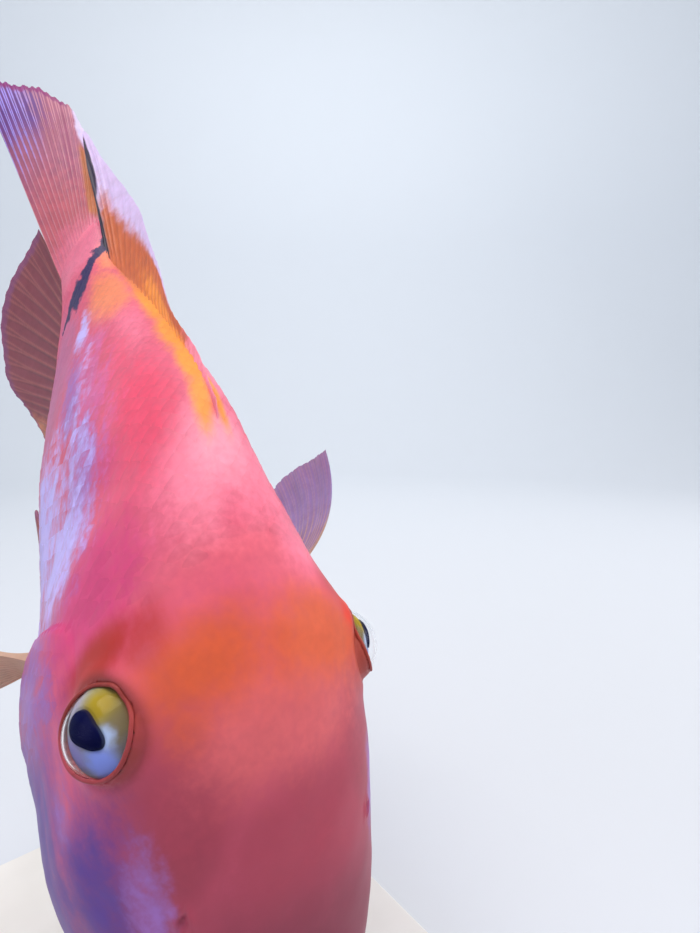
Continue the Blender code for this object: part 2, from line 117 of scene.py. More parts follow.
PECTORAL_ROOT = ((0.370, 0.384), (-0.055, -0.100))
LEFT_PECTORAL_TIPS = ((0, 0.52, -0.222, 0.113), (0.25, 0.54, -0.235, 0.076),
                      (0.5, 0.565, -0.241, 0.030), (0.75, 0.575, -0.242, -0.020),
                      (1, 0.555, -0.225, -0.072))
RIGHT_PECTORAL_TIPS = ((0, 0.55, 0.234, -0.130), (0.3, 0.535, 0.220, -0.185),
                       (0.6, 0.50, 0.200, -0.235), (1, 0.45, 0.156, -0.258))
LEFT_PECTORAL_BOW = (-0.035, -0.045, 0.01)
RIGHT_PECTORAL_BOW = (-0.015, 0.02, -0.01)
PELVIC_ROOT = ((0.392, 0.424), (-0.176, -0.184))
PELVIC_TIPS = ((0, 0.53, 0.040, -0.234), (0.3, 0.665, 0.026, -0.232), (0.65, 0.60, 0.018, -0.224),
               (1, 0.51, 0.014, -0.214))

# How fine the surfaces are: stations of the skin ahead of and behind the head's end, points
# round it, and s of that end; scales round the body and their grid; the lens's rings, the
# iris's and points round the eye; points round the lid and round its edge; and the angle past
# which a corner stays crisp
SKIN_STATIONS = (198, 98)
SKIN_AROUND = 330
HEAD_END = 0.37
SCALE_ROWS = 38
SCALE_GRID = (5, 6)
EYE_RINGS = (12, 22, 96)
LID_GRID = (120, 12)
SHARP_ANGLE = 42 * DEG

# The coat of scales: s of its first and last ring, the step between rings, the length of a
# scale in steps, and how far it keeps from an eye's axis
COAT_SPAN = (0.236, 0.985)
SCALE_STEP = 0.0112
SCALE_LENGTH = 2.9
EYE_CLEAR = 11.5 * MM

# The photograph's camera: where it stands, how far it turns from +Y towards +X and looks down
CAMERA_AT = (-0.0402, -0.1396, 0.1710)
CAMERA_TURN = 39.75 * DEG
CAMERA_DIP = 6.11 * DEG
CAMERA_LENS = 20.68

# Colour marks on the body, each laid over those before it: name, colour, where its strength
# starts and ends to show, how ragged and how streaky its edge is, then its soft spots of
# (s, angle in degrees, half length, half width in degrees, strength)
SKIN_BASE = "#E4607A"
MARKS = (
    ("belly", "#EE9484", (0.2, 0.8), 0.2, 0.1, ((0.50, -90, 0.60, 48, 0.9),)),
    ("flank_mauve", "#C46C92", (0.1, 0.9), 0.3, 0.3, (
        (0.72, -14, 0.16, 32, 0.9), (0.36, 4, 0.09, 26, 0.8), (0.78, 8, 0.05, 8, 0.5))),
    # The snout's dark rose is painted shade: the front of the head faces down, away from the light, and is
    # painted darker for it.
    ("snout", "#8A3A4C", (0.1, 0.9), 0.2, 0.0, (
        (0.00, 90, 0.138, 420, 1.0), (0.11, 20, 0.06, 42, 0.8), (0.138, 50, 0.035, 18, 0.8))),
    ("face", "#B04658", (0.05, 0.95), 0.2, 0.1, (
        (0.16, 52, 0.060, 30, 0.9), (0.125, 100, 0.04, 50, 0.8), (0.165, 134, 0.060, 22, 0.98))),
    ("forehead", "#E46A6E", (0.05, 0.95), 0.2, 0.1, (
        (0.178, 82, 0.034, 26, 0.95), (0.28, 78, 0.03, 40, 0.4))),
    ("nape_rose", "#D84A7A", (0.1, 0.9), 0.4, 0.4, (
        (0.315, 32, 0.060, 24, 0.95), (0.43, 34, 0.05, 12, 0.6))),
    ("nape_pink", "#FB7F98", (0.1, 0.9), 0.3, 0.2, (
        (0.37, 78, 0.080, 24, 0.95), (0.50, 100, 0.08, 14, 0.9), (0.66, 58, 0.09, 16, 0.7),
        (0.285, 114, 0.045, 15, 0.8))),
    ("nape_pale", "#FF9FB2", (0.1, 0.95), 0.2, 0.2, ((0.385, 88, 0.050, 15, 0.85),)),
    ("flank_red", "#F05470", (0.1, 0.95), 0.3, 0.4, (
        (0.47, 55, 0.10, 17, 0.9), (0.60, 46, 0.10, 14, 0.5))),
    ("flank_pink", "#DC6A9C", (0.1, 0.9), 0.4, 0.8, ((0.60, 26, 0.19, 18, 0.85),)),
    ("tail_pink", "#E87A92", (0.2, 0.8), 0.2, 0.1, ((0.99, 20, 0.09, 150, 0.95),)),
    ("tail_coral", "#FA8E66", (0.1, 0.9), 0.3, 0.2, (
        (0.79, 50, 0.085, 28, 0.95), (0.90, 70, 0.05, 30, 0.7))),
    ("back_orange", "#FA9838", (0.12, 0.85), 0.15, 0.25, (
        (0.44, 83, 0.055, 7, 0.9), (0.51, 85, 0.060, 9, 0.98), (0.60, 87, 0.080, 13, 0.98),
        (0.72, 88, 0.120, 15, 0.95))),
    ("back_rust", "#E07A48", (0.1, 0.9), 0.2, 0.3, ((0.84, 90, 0.11, 15, 0.9),)),
    ("crown", "#E0623E", (0.08, 0.92), 0.15, 0.1, (
        (0.222, 70, 0.034, 30, 0.85), (0.216, 112, 0.036, 42, 0.9), (0.200, 60, 0.026, 12, 0.6))),
    ("temple", "#E63C22", (0.05, 0.75), 0.15, 0.1, ((0.240, 135, 0.024, 9, 0.98),)),
    ("hood", "#B2342C", (0.1, 0.9), 0.15, 0.1, (
        (0.262, 36, 0.021, 16, 0.95), (0.257, 52, 0.024, 12, 0.6))),
    # The cheek's violet is partly the fish's own colour and partly painted bluish light falling on the
    # cheek from the side.
    ("cheek", "#5E3C8E", (0.02, 1.0), 0.22, 0.2, (
        (0.20, -14, 0.14, 32, 0.98), (0.155, 17, 0.06, 20, 0.85), (0.30, -14, 0.08, 20, 0.6))),
    ("lilac_soft", "#A26EB6", (0.1, 0.98), 0.35, 0.4, (
        (0.130, 36, 0.030, 9, 0.9), (0.205, 13, 0.022, 7, 0.5), (0.30, 2, 0.05, 15, 0.8),
        (0.46, 22, 0.12, 12, 0.8), (0.60, 16, 0.12, 9, 0.75))),
    ("lilac", "#CFBEFC", (0.14, 1.0), 0.35, 0.4, (
        (0.400, 10, 0.055, 21, 0.98), (0.49, -12, 0.12, 25, 0.98), (0.745, 19, 0.052, 8, 0.95),
        (0.50, 18, 0.12, 14, 0.6), (0.62, 26, 0.12, 9, 0.4))),
    ("band", "#382E5A", (0.26, 0.72), 0.6, 0.2, ()),
)
# The dark band over the tail's root: angle in degrees, s of its middle, and half its length
BAND_LINE = ((-24, 0.828, 0.001), (-14, 0.838, 0.007), (0, 0.860, 0.021), (9, 0.863, 0.031),
             (20, 0.872, 0.029), (32, 0.893, 0.025), (45, 0.915, 0.021), (60, 0.932, 0.018),
             (75, 0.946, 0.017), (90, 0.962, 0.017))
# The mark round each eye, laid last, and how sharply the strength of every spot falls away
LID_MARK = ("lid", "#8C3832", (0.1, 0.9), 0.2, 0.0, ())
SPOT_POWER = 1.15

# Where the back's orange starts on the left: over these angles, and behind these s
ORANGE_START = ((94 * DEG, 103 * DEG), (0.68, 0.58))

# Marks whose single scales stand apart from one another, and by how much
LONE_SCALES = {"cheek": 0.08, "lilac": 0.15, "lilac_soft": 0.15}

# Iris colours, with a painted reflection and a painted highlight: towards the snout, towards the back,
# reach, colour, strength, in iris radii
IRIS_COLOURS_AND_REFLECTIONS = ((-0.70, -0.50, 0.70, "#8E8A9A", 0.95), (0.35, -0.60, 0.70, "#7E78B0", 0.9),
             (-0.40, 0.85, 0.60, "#5C5230", 0.85), (-0.50, 0.36, 0.56, "#86741E", 0.98),
             # The pale blue spot at (0.64, 0.16) is a painted reflection, and the bluish white spot at
             # (0.13, 0.42) a painted highlight.
             (0.10, 0.86, 0.62, "#6A5E44", 0.95), (0.64, 0.16, 0.62, "#7F92DC", 0.95),
             (0.50, 0.82, 0.42, "#6C6668", 0.8), (0.13, 0.42, 0.32, "#A6BCE4", 0.75))


def smooth(points, x):
    """A curve through the points that never overshoots: cubic pieces whose slope at a point
    is the harmonic mean of the steps beside it."""
    px, py = np.array(points, float).T
    step = np.diff(px)
    rise = np.diff(py) / step
    same = rise[1:] * rise[:-1] > 0
    slope = np.concatenate([rise[:1], np.zeros(len(rise) - 1), rise[-1:]])
    slope[1:-1][same] = (2 * rise[1:] * rise[:-1])[same] / (rise[1:] + rise[:-1])[same]
    x = np.clip(x, px[0], px[-1])
    i = np.clip(np.searchsorted(px, x) - 1, 0, len(step) - 1)
    t = (x - px[i]) / step[i]
    start, end = t * t * (2 * t - 3) + 1, t * t * (3 - 2 * t)
    leave, arrive = t * (1 - t) ** 2, t * t * (t - 1)
    return py[i] * start + py[i + 1] * end + step[i] * (slope[i] * leave + slope[i + 1] * arrive)


def ease(low, high, x):
    """Rises smoothly from 0 at low to 1 at high."""
    t = np.clip((x - low) / (high - low), 0, 1)
    return t * t * (3 - 2 * t)


def bump(x, centre, width):
    """A bell of height 1 at the centre."""
    return np.exp(-((x - centre) / width) ** 2)


def unit(v):
    """The vectors with length 1."""
    return v / np.maximum(np.linalg.norm(v, axis=-1, keepdims=True), 1e-12)


def ripple(points, size, seed, waves=9):
    """Soft noise between about -1 and 1: the mean of plane waves of that size, each with a
    seeded direction and phase."""
    draw = np.random.default_rng(seed)
    ways = unit(draw.normal(size=(waves, 3))) * 2 * math.pi / size
    ways = ways * draw.uniform(0.6, 1.6, (waves, 1))
    phases = draw.uniform(0, 2 * math.pi, waves)
    return np.sin(points @ ways.T + phases).sum(-1) / math.sqrt(waves)


def bent_axis():
    """The bent centreline: at each s the sum of steps along its heading and lift."""
    s = np.linspace(-0.2, 1.6, 361)
    past = np.clip(s - BEND_START, 0, None)
    heading = SWING[0] * past + SWING[1] * past ** 2
    lift = RISE * past
    way = np.stack([np.cos(heading) * np.cos(lift), np.sin(heading) * np.cos(lift), np.sin(lift)], -1)
    steps = (way[1:] + way[:-1]) / 2 * np.diff(s)[:, None]
    path = np.concatenate([np.zeros((1, 3)), np.cumsum(steps, 0)])
    zero = np.array([np.interp(0, s, path[:, k]) for k in range(3)])
    return s, path - zero


AXIS_S, AXIS_PATH = bent_axis()


def place(p):
    """Straight body coordinates (s, r, h), in standard lengths, to metres in the frame: each
    section is twisted, lifted and turned with the bent centreline, then pitched nose down."""
    s, r, h = p[..., 0], p[..., 1], p[..., 2]
    past = np.clip(s - BEND_START, 0, None)
    heading = SWING[0] * past + SWING[1] * past ** 2
    lift, twist = RISE * past, TWIST * past
    side = r * np.cos(twist) - h * np.sin(twist)
    rise = r * np.sin(twist) + h * np.cos(twist)
    along, rise = -rise * np.sin(lift), rise * np.cos(lift)
    x, y, z = (np.interp(s, AXIS_S, AXIS_PATH[:, k]) for k in range(3))
    x = x + along * np.cos(heading) - side * np.sin(heading)
    y = y + along * np.sin(heading) + side * np.cos(heading)
    z = z + rise
    c, n = math.cos(NOSE_DOWN), math.sin(NOSE_DOWN)
    return SNOUT_AT + STANDARD_LENGTH * np.stack([-y, x * c - z * n, x * n + z * c], -1)


def section(s, angle):
    """Point of the body's surface: a rounded section, sharper along the back and wider at the
    jowl than at the brow, that closes on the snout like a half ellipse. The profiles start
    softly there, without a crease."""
    s, angle = np.broadcast_arrays(np.asarray(s, float), np.asarray(angle, float))
    start = (s + SNOUT_SOFT) ** 2 / (4 * SNOUT_SOFT)
    along = np.where(np.abs(s) < SNOUT_SOFT, start, np.clip(s, 0, None))
    close = np.sqrt(np.clip(1 - np.clip((SNOUT_TIP + SNOUT_ROUND - s) / SNOUT_ROUND, 0, 1) ** 2, 0, 1))
    back, belly = smooth(BACK, along), smooth(BELLY, along)
    c, n = np.cos(angle), np.sin(angle)
    ridge = ease(0, 0.7, n) * ease(0.25, 0.5, s)
    power = SIDE_POWER + (RIDGE_POWER - SIDE_POWER) * ridge
    jowl = 1 - JOWL * n * ease(0.02, 0.19, s) * (1 - ease(0.30, 0.62, s))
    r = smooth(FLANK, along) * close * jowl * np.sign(c) * np.abs(c) ** power
    h = (back + belly) / 2 + (back - belly) / 2 * close * np.sign(n) * np.abs(n) ** SIDE_POWER
    return np.stack([s, r, h], -1)


def outward(s, angle):
    """Normal of the straight body's surface: across its two directions."""
    d = 1e-3
    near = np.minimum(d, 0.5 * np.abs(np.asarray(s) - SNOUT_TIP) + 1e-7)
    along = section(s + near, angle) - section(s - near, angle)
    around = section(s, angle + d) - section(s, angle - d)
    return unit(np.cross(around, along))


def flesh(s, angle, lift=0.0):
    """Straight coordinates of a point lifted off the surface, lift in metres."""
    return section(s, angle) + outward(s, angle) * (np.asarray(lift)[..., None] / STANDARD_LENGTH)


def folded(angle):
    """The angle with the left side folded over to the right, from -90 to 90 degrees."""
    return np.arcsin(np.clip(np.sin(angle), -1, 1))


def angle_at(s, side, height):
    """The angle on the right (side 1) or left (side -1) where the surface has that height."""
    back, belly = smooth(BACK, s), smooth(BELLY, s)
    n = np.clip((height - (back + belly) / 2) / ((back - belly) / 2), -1, 1)
    angle = np.arcsin(np.sign(n) * np.abs(n) ** (1 / SIDE_POWER))
    return angle if side > 0 else math.pi - angle


def brow(s, angle):
    """Lift of the low round mound above and behind each eye."""
    across = (folded(angle) - BROW_AT[1]) / BROW_SIZE[1]
    return BROW_LIFT * np.exp(-((s - BROW_AT[0]) / BROW_SIZE[0]) ** 2 - across ** 2)


def eye_angle(side):
    """The angle round the section at which that side's eye sits."""
    return EYE_AT[1] if side > 0 else math.pi - EYE_AT[1]


def eye_axis(side):
    """Straight coordinates of the eye's middle on the surface, and the way it looks."""
    angle = eye_angle(side)
    return flesh(EYE_AT[0], angle, brow(EYE_AT[0], angle)), outward(EYE_AT[0], angle)


def from_eye(p):
    """Distance in metres from the axis of the nearer eye."""
    found = []
    for side in (1, -1):
        middle, look = eye_axis(side)
        gap = p - middle
        along = np.sum(gap * look, -1, keepdims=True)
        far = np.linalg.norm(gap - along * look, axis=-1) * STANDARD_LENGTH
        found.append(np.where(p[..., 1] * side > 0, far, 1.0))
    return np.minimum(*found)


def gill_edge(angle):
    """s of the gill cover's rear edge at the angle, and how fully the cover stands out there:
    a bow over its span, from nothing at either end."""
    share = np.clip((folded(angle) - GILL_ANGLES[0]) / (GILL_ANGLES[1] - GILL_ANGLES[0]), 0, 1)
    round_edge = np.sin(math.pi * share)
    return GILL_REAR[0] + GILL_REAR[1] * round_edge ** 0.8, np.clip(round_edge, 0, 1) ** 0.45


def behind_eye(s, angle):
    """Rises from 0 ahead of the eye to 1 behind it, a little sooner above than below."""
    return ease(-0.004, 0.022, (s - EYE_AT[0]) + 0.0002 * (folded(angle) - EYE_AT[1]) / DEG)


def lid_reach(s, angle):
    """How much further than above it the lid reaches over the eye: in front, behind, and most
    of all below."""
    below = ease(4 * DEG, -16 * DEG, folded(angle) - EYE_AT[1])
    ahead = ease(0.004, -0.022, s - EYE_AT[0])
    return 3 * DEG * behind_eye(s, angle) + 6 * DEG * ahead + 22 * DEG * below


def lid_on_ball(s, angle, lift, side):
    """How far the skin has to rise, along its normal, to lie on a sphere just over that side's
    ball, how far the risen point is turned from the way the eye looks, and whether it is near
    the ball at all."""
    middle, look = eye_axis(side)
    normal = outward(s, angle)
    q = (flesh(s, angle, lift) - middle + look * EYE_SINK / STANDARD_LENGTH) * STANDARD_LENGTH
    out = np.sum(q * normal, -1)
    inside = out ** 2 - np.sum(q * q, -1) + (EYE_RADIUS + 0.22 * MM) ** 2
    over = np.where(inside > 0, np.clip(np.sqrt(np.clip(inside, 0, None)) - out, 0, None), 0)
    at = q + normal * over[..., None]
    near = (np.linalg.norm(at, axis=-1) < EYE_RADIUS + 1.2 * MM) | (over > 0)
    return over, np.arccos(np.clip(np.sum(unit(at) * look, -1), -1, 1)), near


def eyelid(s, angle, lift):
    """Added lift round the eyes. Where the ball stands above the skin, the lid lies on it.
    Inside the opening the skin drops into the socket."""
    reach = lid_reach(s, angle)
    r = section(s, angle)[..., 1]
    added = np.zeros(np.shape(lift))
    for side in (1, -1):
        over, turn, near = lid_on_ball(s, angle, lift, side)
        opening = ease(EYE_OPEN + 1.5 * DEG, EYE_OPEN - 5 * DEG, turn + reach) * near
        added = added + np.where(r * side > 0, over * (1 - opening) - SOCKET_DEPTH * opening, 0)
    return added


def orbit_relief(p):
    """A soft rim round the eye."""
    return 0.55 * MM * bump(from_eye(p), ORBIT_RADIUS + 0.6 * MM, 1.7 * MM)


def mouth_relief(p):
    """Two lips, one on each side of a slit. All follow the distance from the mouth's own
    sloping plane, are lower at the very front, and fade out behind the corner of the mouth."""
    s, _, h = np.moveaxis(p, -1, 0)
    tilt = math.hypot(1, MOUTH_SLOPE)
    off = (h - MOUTH_HEIGHT - MOUTH_SLOPE * np.clip(s, 0, None)) / tilt * STANDARD_LENGTH
    fade = 1 - ease(MOUTH_CORNER - 0.022, MOUTH_CORNER + 0.004, s)
    lips = LIP_HEIGHT * (bump(off, 2.5 * MM, 1.9 * MM) + bump(off, -2.4 * MM, 1.9 * MM))
    folds = 0.5 * MM * (bump(off, 6.0 * MM, 1.1 * MM) + bump(off, -5.8 * MM, 1.1 * MM))
    slit = 1.8 * MM * bump(off, 0, 0.5 * MM) * (1 - ease(MOUTH_CORNER - 0.006, MOUTH_CORNER, s))
    full = ease(-0.014, 0.014, s)
    return (lips * (0.6 + 0.4 * full) - folds * full) * fade - slit * (0.7 + 0.3 * full)


def nostril_relief(p):
    """A pit with a thin raised rim on each side of the snout."""
    lift = 0.0
    for angle in (NOSTRIL_AT[1], math.pi - NOSTRIL_AT[1]):
        far = np.linalg.norm(p - section(NOSTRIL_AT[0], angle), axis=-1) * STANDARD_LENGTH
        lift = lift + 0.35 * MM * bump(far, 1.5 * NOSTRIL_RADIUS, 0.45 * MM)
        lift = lift - 0.8 * MM * bump(far, 0, 0.8 * NOSTRIL_RADIUS)
    return lift


def gill_relief(s, angle):
    """The gill cover swells towards its rear edge and drops there in a short step to a groove.
    A shallow crease ahead of it marks the hinder edge of the cheek."""
    edge, full = gill_edge(angle)
    swell = GILL_LIFT * ease(GILL_FRONT, GILL_REAR[0], s) * full
    step = ease(edge - 0.0008, edge + 0.0018, s)
    groove = 0.35 * MM * bump(s, edge + 0.006, 0.007) * full
    cheek = full * (1 - ease(-5 * DEG, 25 * DEG, folded(angle)))
    crease = 0.3 * MM * bump(s, edge - 0.078, 0.006) * cheek
    return swell * (1 - step) - groove - crease


def bare_relief(s, angle):
    """What the skin does above or below the plain surface, but for the lids, in metres."""
    p = section(s, angle)
    soft = 0.12 * MM * ripple(p, 0.11, 5) + 0.05 * MM * ripple(p, 0.035, 6)
    ridge = 0.7 * MM * bump(np.cos(angle), 0, 0.09) * ease(0.38, 0.46, s) * (np.sin(angle) > 0)
    lift = brow(s, angle) + orbit_relief(p) + mouth_relief(p) + nostril_relief(p)
    return lift + gill_relief(s, angle) + soft + ridge - COAT_DEPTH


def relief(s, angle):
    """Everything that the skin does above or below the plain surface, in metres."""
    lift = bare_relief(s, angle)
    return lift + eyelid(s, angle, lift)


def marks_at(s, angle):
    """How strongly each colour mark lies at the points: the highest of its soft spots. A spot
    lies on both sides, and one past 90 degrees on the left alone. The back's orange starts on
    the right side alone, the band follows its line, and the eyelid's mark is a ring, strongest
    behind the eye."""
    lean = folded(angle) / DEG
    whole = (angle / DEG + 90) % 360 - 90
    found = {}
    for name, *_, spots in MARKS:
        found[name] = np.zeros(np.shape(s))
        for at, turn, long, wide, power in spots:
            across = (whole if turn > 90 else lean) - turn
            far = ((s - at) / long) ** 2 + (across / wide) ** 2
            found[name] = np.maximum(found[name], power * np.exp(-far ** SPOT_POWER))
    left = ease(*ORANGE_START[0], angle) * ease(*ORANGE_START[1], s)
    found["back_orange"] = found["back_orange"] * (1 - 0.9 * left)
    line = np.array(BAND_LINE)
    p = section(s, angle)
    half = smooth(line[:, (0, 2)], lean) * (1 + 0.30 * ripple(p, 0.022, 31))
    off = np.abs(s - smooth(line[:, :2], lean) - 0.004 * ripple(p, 0.035, 32)) / half
    found["band"] = np.exp(-off ** 2.8) * (lean > BAND_LINE[0][0])
    ring = bump(from_eye(p), ORBIT_RADIUS - 1.1 * MM, 2.4 * MM)
    found["lid"] = ring * (0.65 + 0.25 * behind_eye(s, angle))
    found["straight"] = p * STANDARD_LENGTH
    return found


def srgb(code):
    """Linear colour of an sRGB hex value."""
    parts = [int(code[i:i + 2], 16) / 255 for i in (1, 3, 5)]
    return (*[c / 12.92 if c <= 0.04045 else ((c + 0.055) / 1.055) ** 2.4 for c in parts], 1.0)


def feed(tree, node, inputs):
    """Gives a node its inputs by name or number: a socket is linked, a value is set."""
    for key, value in dict(inputs).items():
        if isinstance(value, bpy.types.NodeSocket):
            tree.links.new(value, node.inputs[key])
        else:
            node.inputs[key].default_value = value


def add(tree, kind, inputs=(), **settings):
    """Adds a node, with its settings and its inputs."""
    made = tree.nodes.new("ShaderNode" + kind)
    for key, value in settings.items():
        setattr(made, key, value)
    feed(tree, made, inputs)
    return made


def new_material(name):
    """An empty node material, its Principled shader and its tree."""
    material = bpy.data.materials.new(name)
    material.use_nodes = True
    tree = material.node_tree
    return material, tree, tree.nodes["Principled BSDF"]


def new_object(name, data):
    """An object in the scene for a mesh, a lamp or a camera."""
    made = bpy.data.objects.new(name, data)
    bpy.context.scene.collection.objects.link(made)
    return made


def new_mesh(name, points, faces, material):
    """A smooth mesh from points and arrays of faces."""
    mesh = bpy.data.meshes.new(name)
    mesh.from_pydata(points, [], [face for block in faces for face in block.tolist()])
    mesh.shade_smooth()
    mesh.materials.append(material)
    return mesh


def grid_faces(rows, cols, wrap=False):
    """Quads of a grid of points, row by row; wrap joins the last column to the first."""
    i, j = np.meshgrid(np.arange(rows - 1), np.arange(cols if wrap else cols - 1), indexing="ij")
    here, beside = i * cols + j, i * cols + (j + 1) % cols
    return np.stack([here, beside, beside + cols, here + cols], -1).reshape(-1, 4)


def tube_faces(rows, cols):
    """Quads of a tube of rings, with one flat face over each end."""
    ends = np.arange(cols)[None, ::-1], (rows - 1) * cols + np.arange(cols)[None]
    return [grid_faces(rows, cols, wrap=True), *ends]


def rim_of(rows, cols):
    """Indices of a grid's outer points, once round."""
    places = [(0, j) for j in range(cols)] + [(i, cols - 1) for i in range(1, rows)]
    places += [(rows - 1, j) for j in reversed(range(cols - 1))]
    places += [(i, 0) for i in range(rows - 2, 0, -1)]
    return np.array([i * cols + j for i, j in places])


def plate_faces(rows, cols):
    """Quads of a closed plate: a grid, the strip round its rim, and the grid again on the
    underside, turned round. The underside's points follow the others."""
    face, ring, count = grid_faces(rows, cols), rim_of(rows, cols), rows * cols
    after = np.roll(ring, -1)
    return [face, np.stack([ring, ring + count, after + count, after], -1), face[:, ::-1] + count]


def make_piece(name, points, faces, material, marks=(), uv=None, crisp=False):
    """A mesh object from points and arrays of faces. If its signed volume is negative, its
    faces are turned round. Marks are values at the points, and uv a map of them. A crisp
    piece keeps its corners sharp."""
    volume = 0.0
    for block in faces:
        for k in range(1, block.shape[1] - 1):
            a, b, c = points[block[:, 0]], points[block[:, k]], points[block[:, k + 1]]
            volume += np.sum(a * np.cross(b, c))
    if volume < 0:
        faces = [block[:, ::-1] for block in faces]
    mesh = new_mesh(name, points, faces, material)
    for key, values in dict(marks).items():
        kind, field = ("FLOAT_VECTOR", "vector") if np.ndim(values) == 2 else ("FLOAT", "value")
        layer = mesh.attributes.new(key, kind, "POINT")
        layer.data.foreach_set(field, np.ascontiguousarray(values, np.float32).ravel())
    if uv is not None:
        corner = np.zeros(len(mesh.loops), int)
        mesh.loops.foreach_get("vertex_index", corner)
        layer = mesh.uv_layers.new(name="OFBake")
        layer.data.foreach_set("uv", uv[corner].astype(np.float32).ravel())
    if crisp:
        mesh.set_sharp_from_angle(angle=SHARP_ANGLE)
    made = new_object(name, mesh)
    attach(made, "root")
    return made


def body_uv(s, angle):
    """The body's own unwrap: once round across, and snout to tail up."""
    return np.stack([(angle / (2 * math.pi)) % 1, (s - SNOUT_TIP) / (TAIL_END - SNOUT_TIP)], -1)


def spaced(x, density, count):
    """Points along x that lie closer where the density is higher: equal steps of its sum."""
    total = np.concatenate([[0], np.cumsum((density[1:] + density[:-1]) / 2 * np.diff(x))])
    return np.interp(np.linspace(0, total[-1], count), total, x)


def make_skin(material):
    """One closed surface from snout to tail: the body's section round each station, lifted by
    the relief, with a single point at the snout and at the tail."""
    along = SNOUT_TIP + (HEAD_END - SNOUT_TIP) * np.linspace(0.006, 1, 3000) ** 2
    density = 1 + 1.6 * bump(along, EYE_AT[0], 0.045) + bump(along, 0, 0.06)
    density += 2.2 * np.sqrt(SNOUT_ROUND / (along - SNOUT_TIP)) * ease(0.05, 0, along)
    stations = spaced(along, density, SKIN_STATIONS[0])
    behind = np.linspace(HEAD_END, TAIL_END, SKIN_STATIONS[1] + 1)[1:]
    stations = np.concatenate([stations, behind])
    round_it = np.linspace(-math.pi / 2, 1.5 * math.pi, 4000)
    density = 1 + 1.3 * bump(folded(round_it), EYE_AT[1], 16 * DEG)
    turn = spaced(round_it, density, SKIN_AROUND + 1)[:-1]
    s, angle = np.meshgrid(stations, turn, indexing="ij")
    body = place(flesh(s, angle, relief(s, angle)))
    ends = np.stack([body[0].mean(0), body[-1].mean(0)])
    points = np.concatenate([body.reshape(-1, 3), ends])
    around = np.arange(SKIN_AROUND)
    after = (around + 1) % SKIN_AROUND
    last = (len(stations) - 1) * SKIN_AROUND
    snout = np.stack([np.full(SKIN_AROUND, len(points) - 2), after, around], -1)
    tail = np.stack([np.full(SKIN_AROUND, len(points) - 1), last + around, last + after], -1)
    s_all = np.concatenate([s.ravel(), [SNOUT_TIP, TAIL_END]])
    angle_all = np.concatenate([angle.ravel(), [0.0, 0.0]])
    marks = marks_at(s_all, angle_all)
    marks.update(edge=np.zeros(len(points)), fleck=np.full(len(points), 0.5))
    faces = [grid_faces(len(stations), SKIN_AROUND, wrap=True), snout, tail]
    skin = make_piece("skin", points, faces, material, marks)
    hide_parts("head", "torso", "tail", "gill_cover_left", "gill_cover_right")


def scale_roots():
    """Where each scale is rooted: rings of equal angles, each ring half a scale on from the
    one before, and closer towards the tail. None lie on the face or over the gill's edge."""
    draw = np.random.default_rng(11)
    roots = []
    s, ring = COAT_SPAN[0], 0
    while s < COAT_SPAN[1]:
        step = SCALE_STEP * (1 - 0.35 * ease(0.5, 1.0, s)) * (1 - 0.2 * ease(0.36, 0.26, s))
        turn = (np.arange(SCALE_ROWS) + 0.5 * (ring % 2)) * 2 * math.pi / SCALE_ROWS
        long = np.full(SCALE_ROWS, SCALE_LENGTH * step)
        roots.append(np.stack([np.full(SCALE_ROWS, s), turn, long], -1))
        s, ring = s + step, ring + 1
    roots = np.concatenate(roots)
    roots[:, :2] += draw.normal(size=(len(roots), 2)) * (0.0005, 0.006)
    s, turn, long = roots.T
    edge, full = gill_edge(turn)
    crosses = (full > 0.05) & (s < edge + 0.003) & (s + long > edge - 0.004)
    face = 0.245 + 0.020 * ease(40 * DEG, 90 * DEG, folded(turn))
    kept = ~crosses & (s > face) & (from_eye(section(s, turn)) > EYE_CLEAR)
    return roots[kept], draw


def on_both(values, count):
    """Values at the points of each plate, given again for its underside."""
    return np.repeat(values.reshape(len(values), 1, count), 2, 1).ravel()


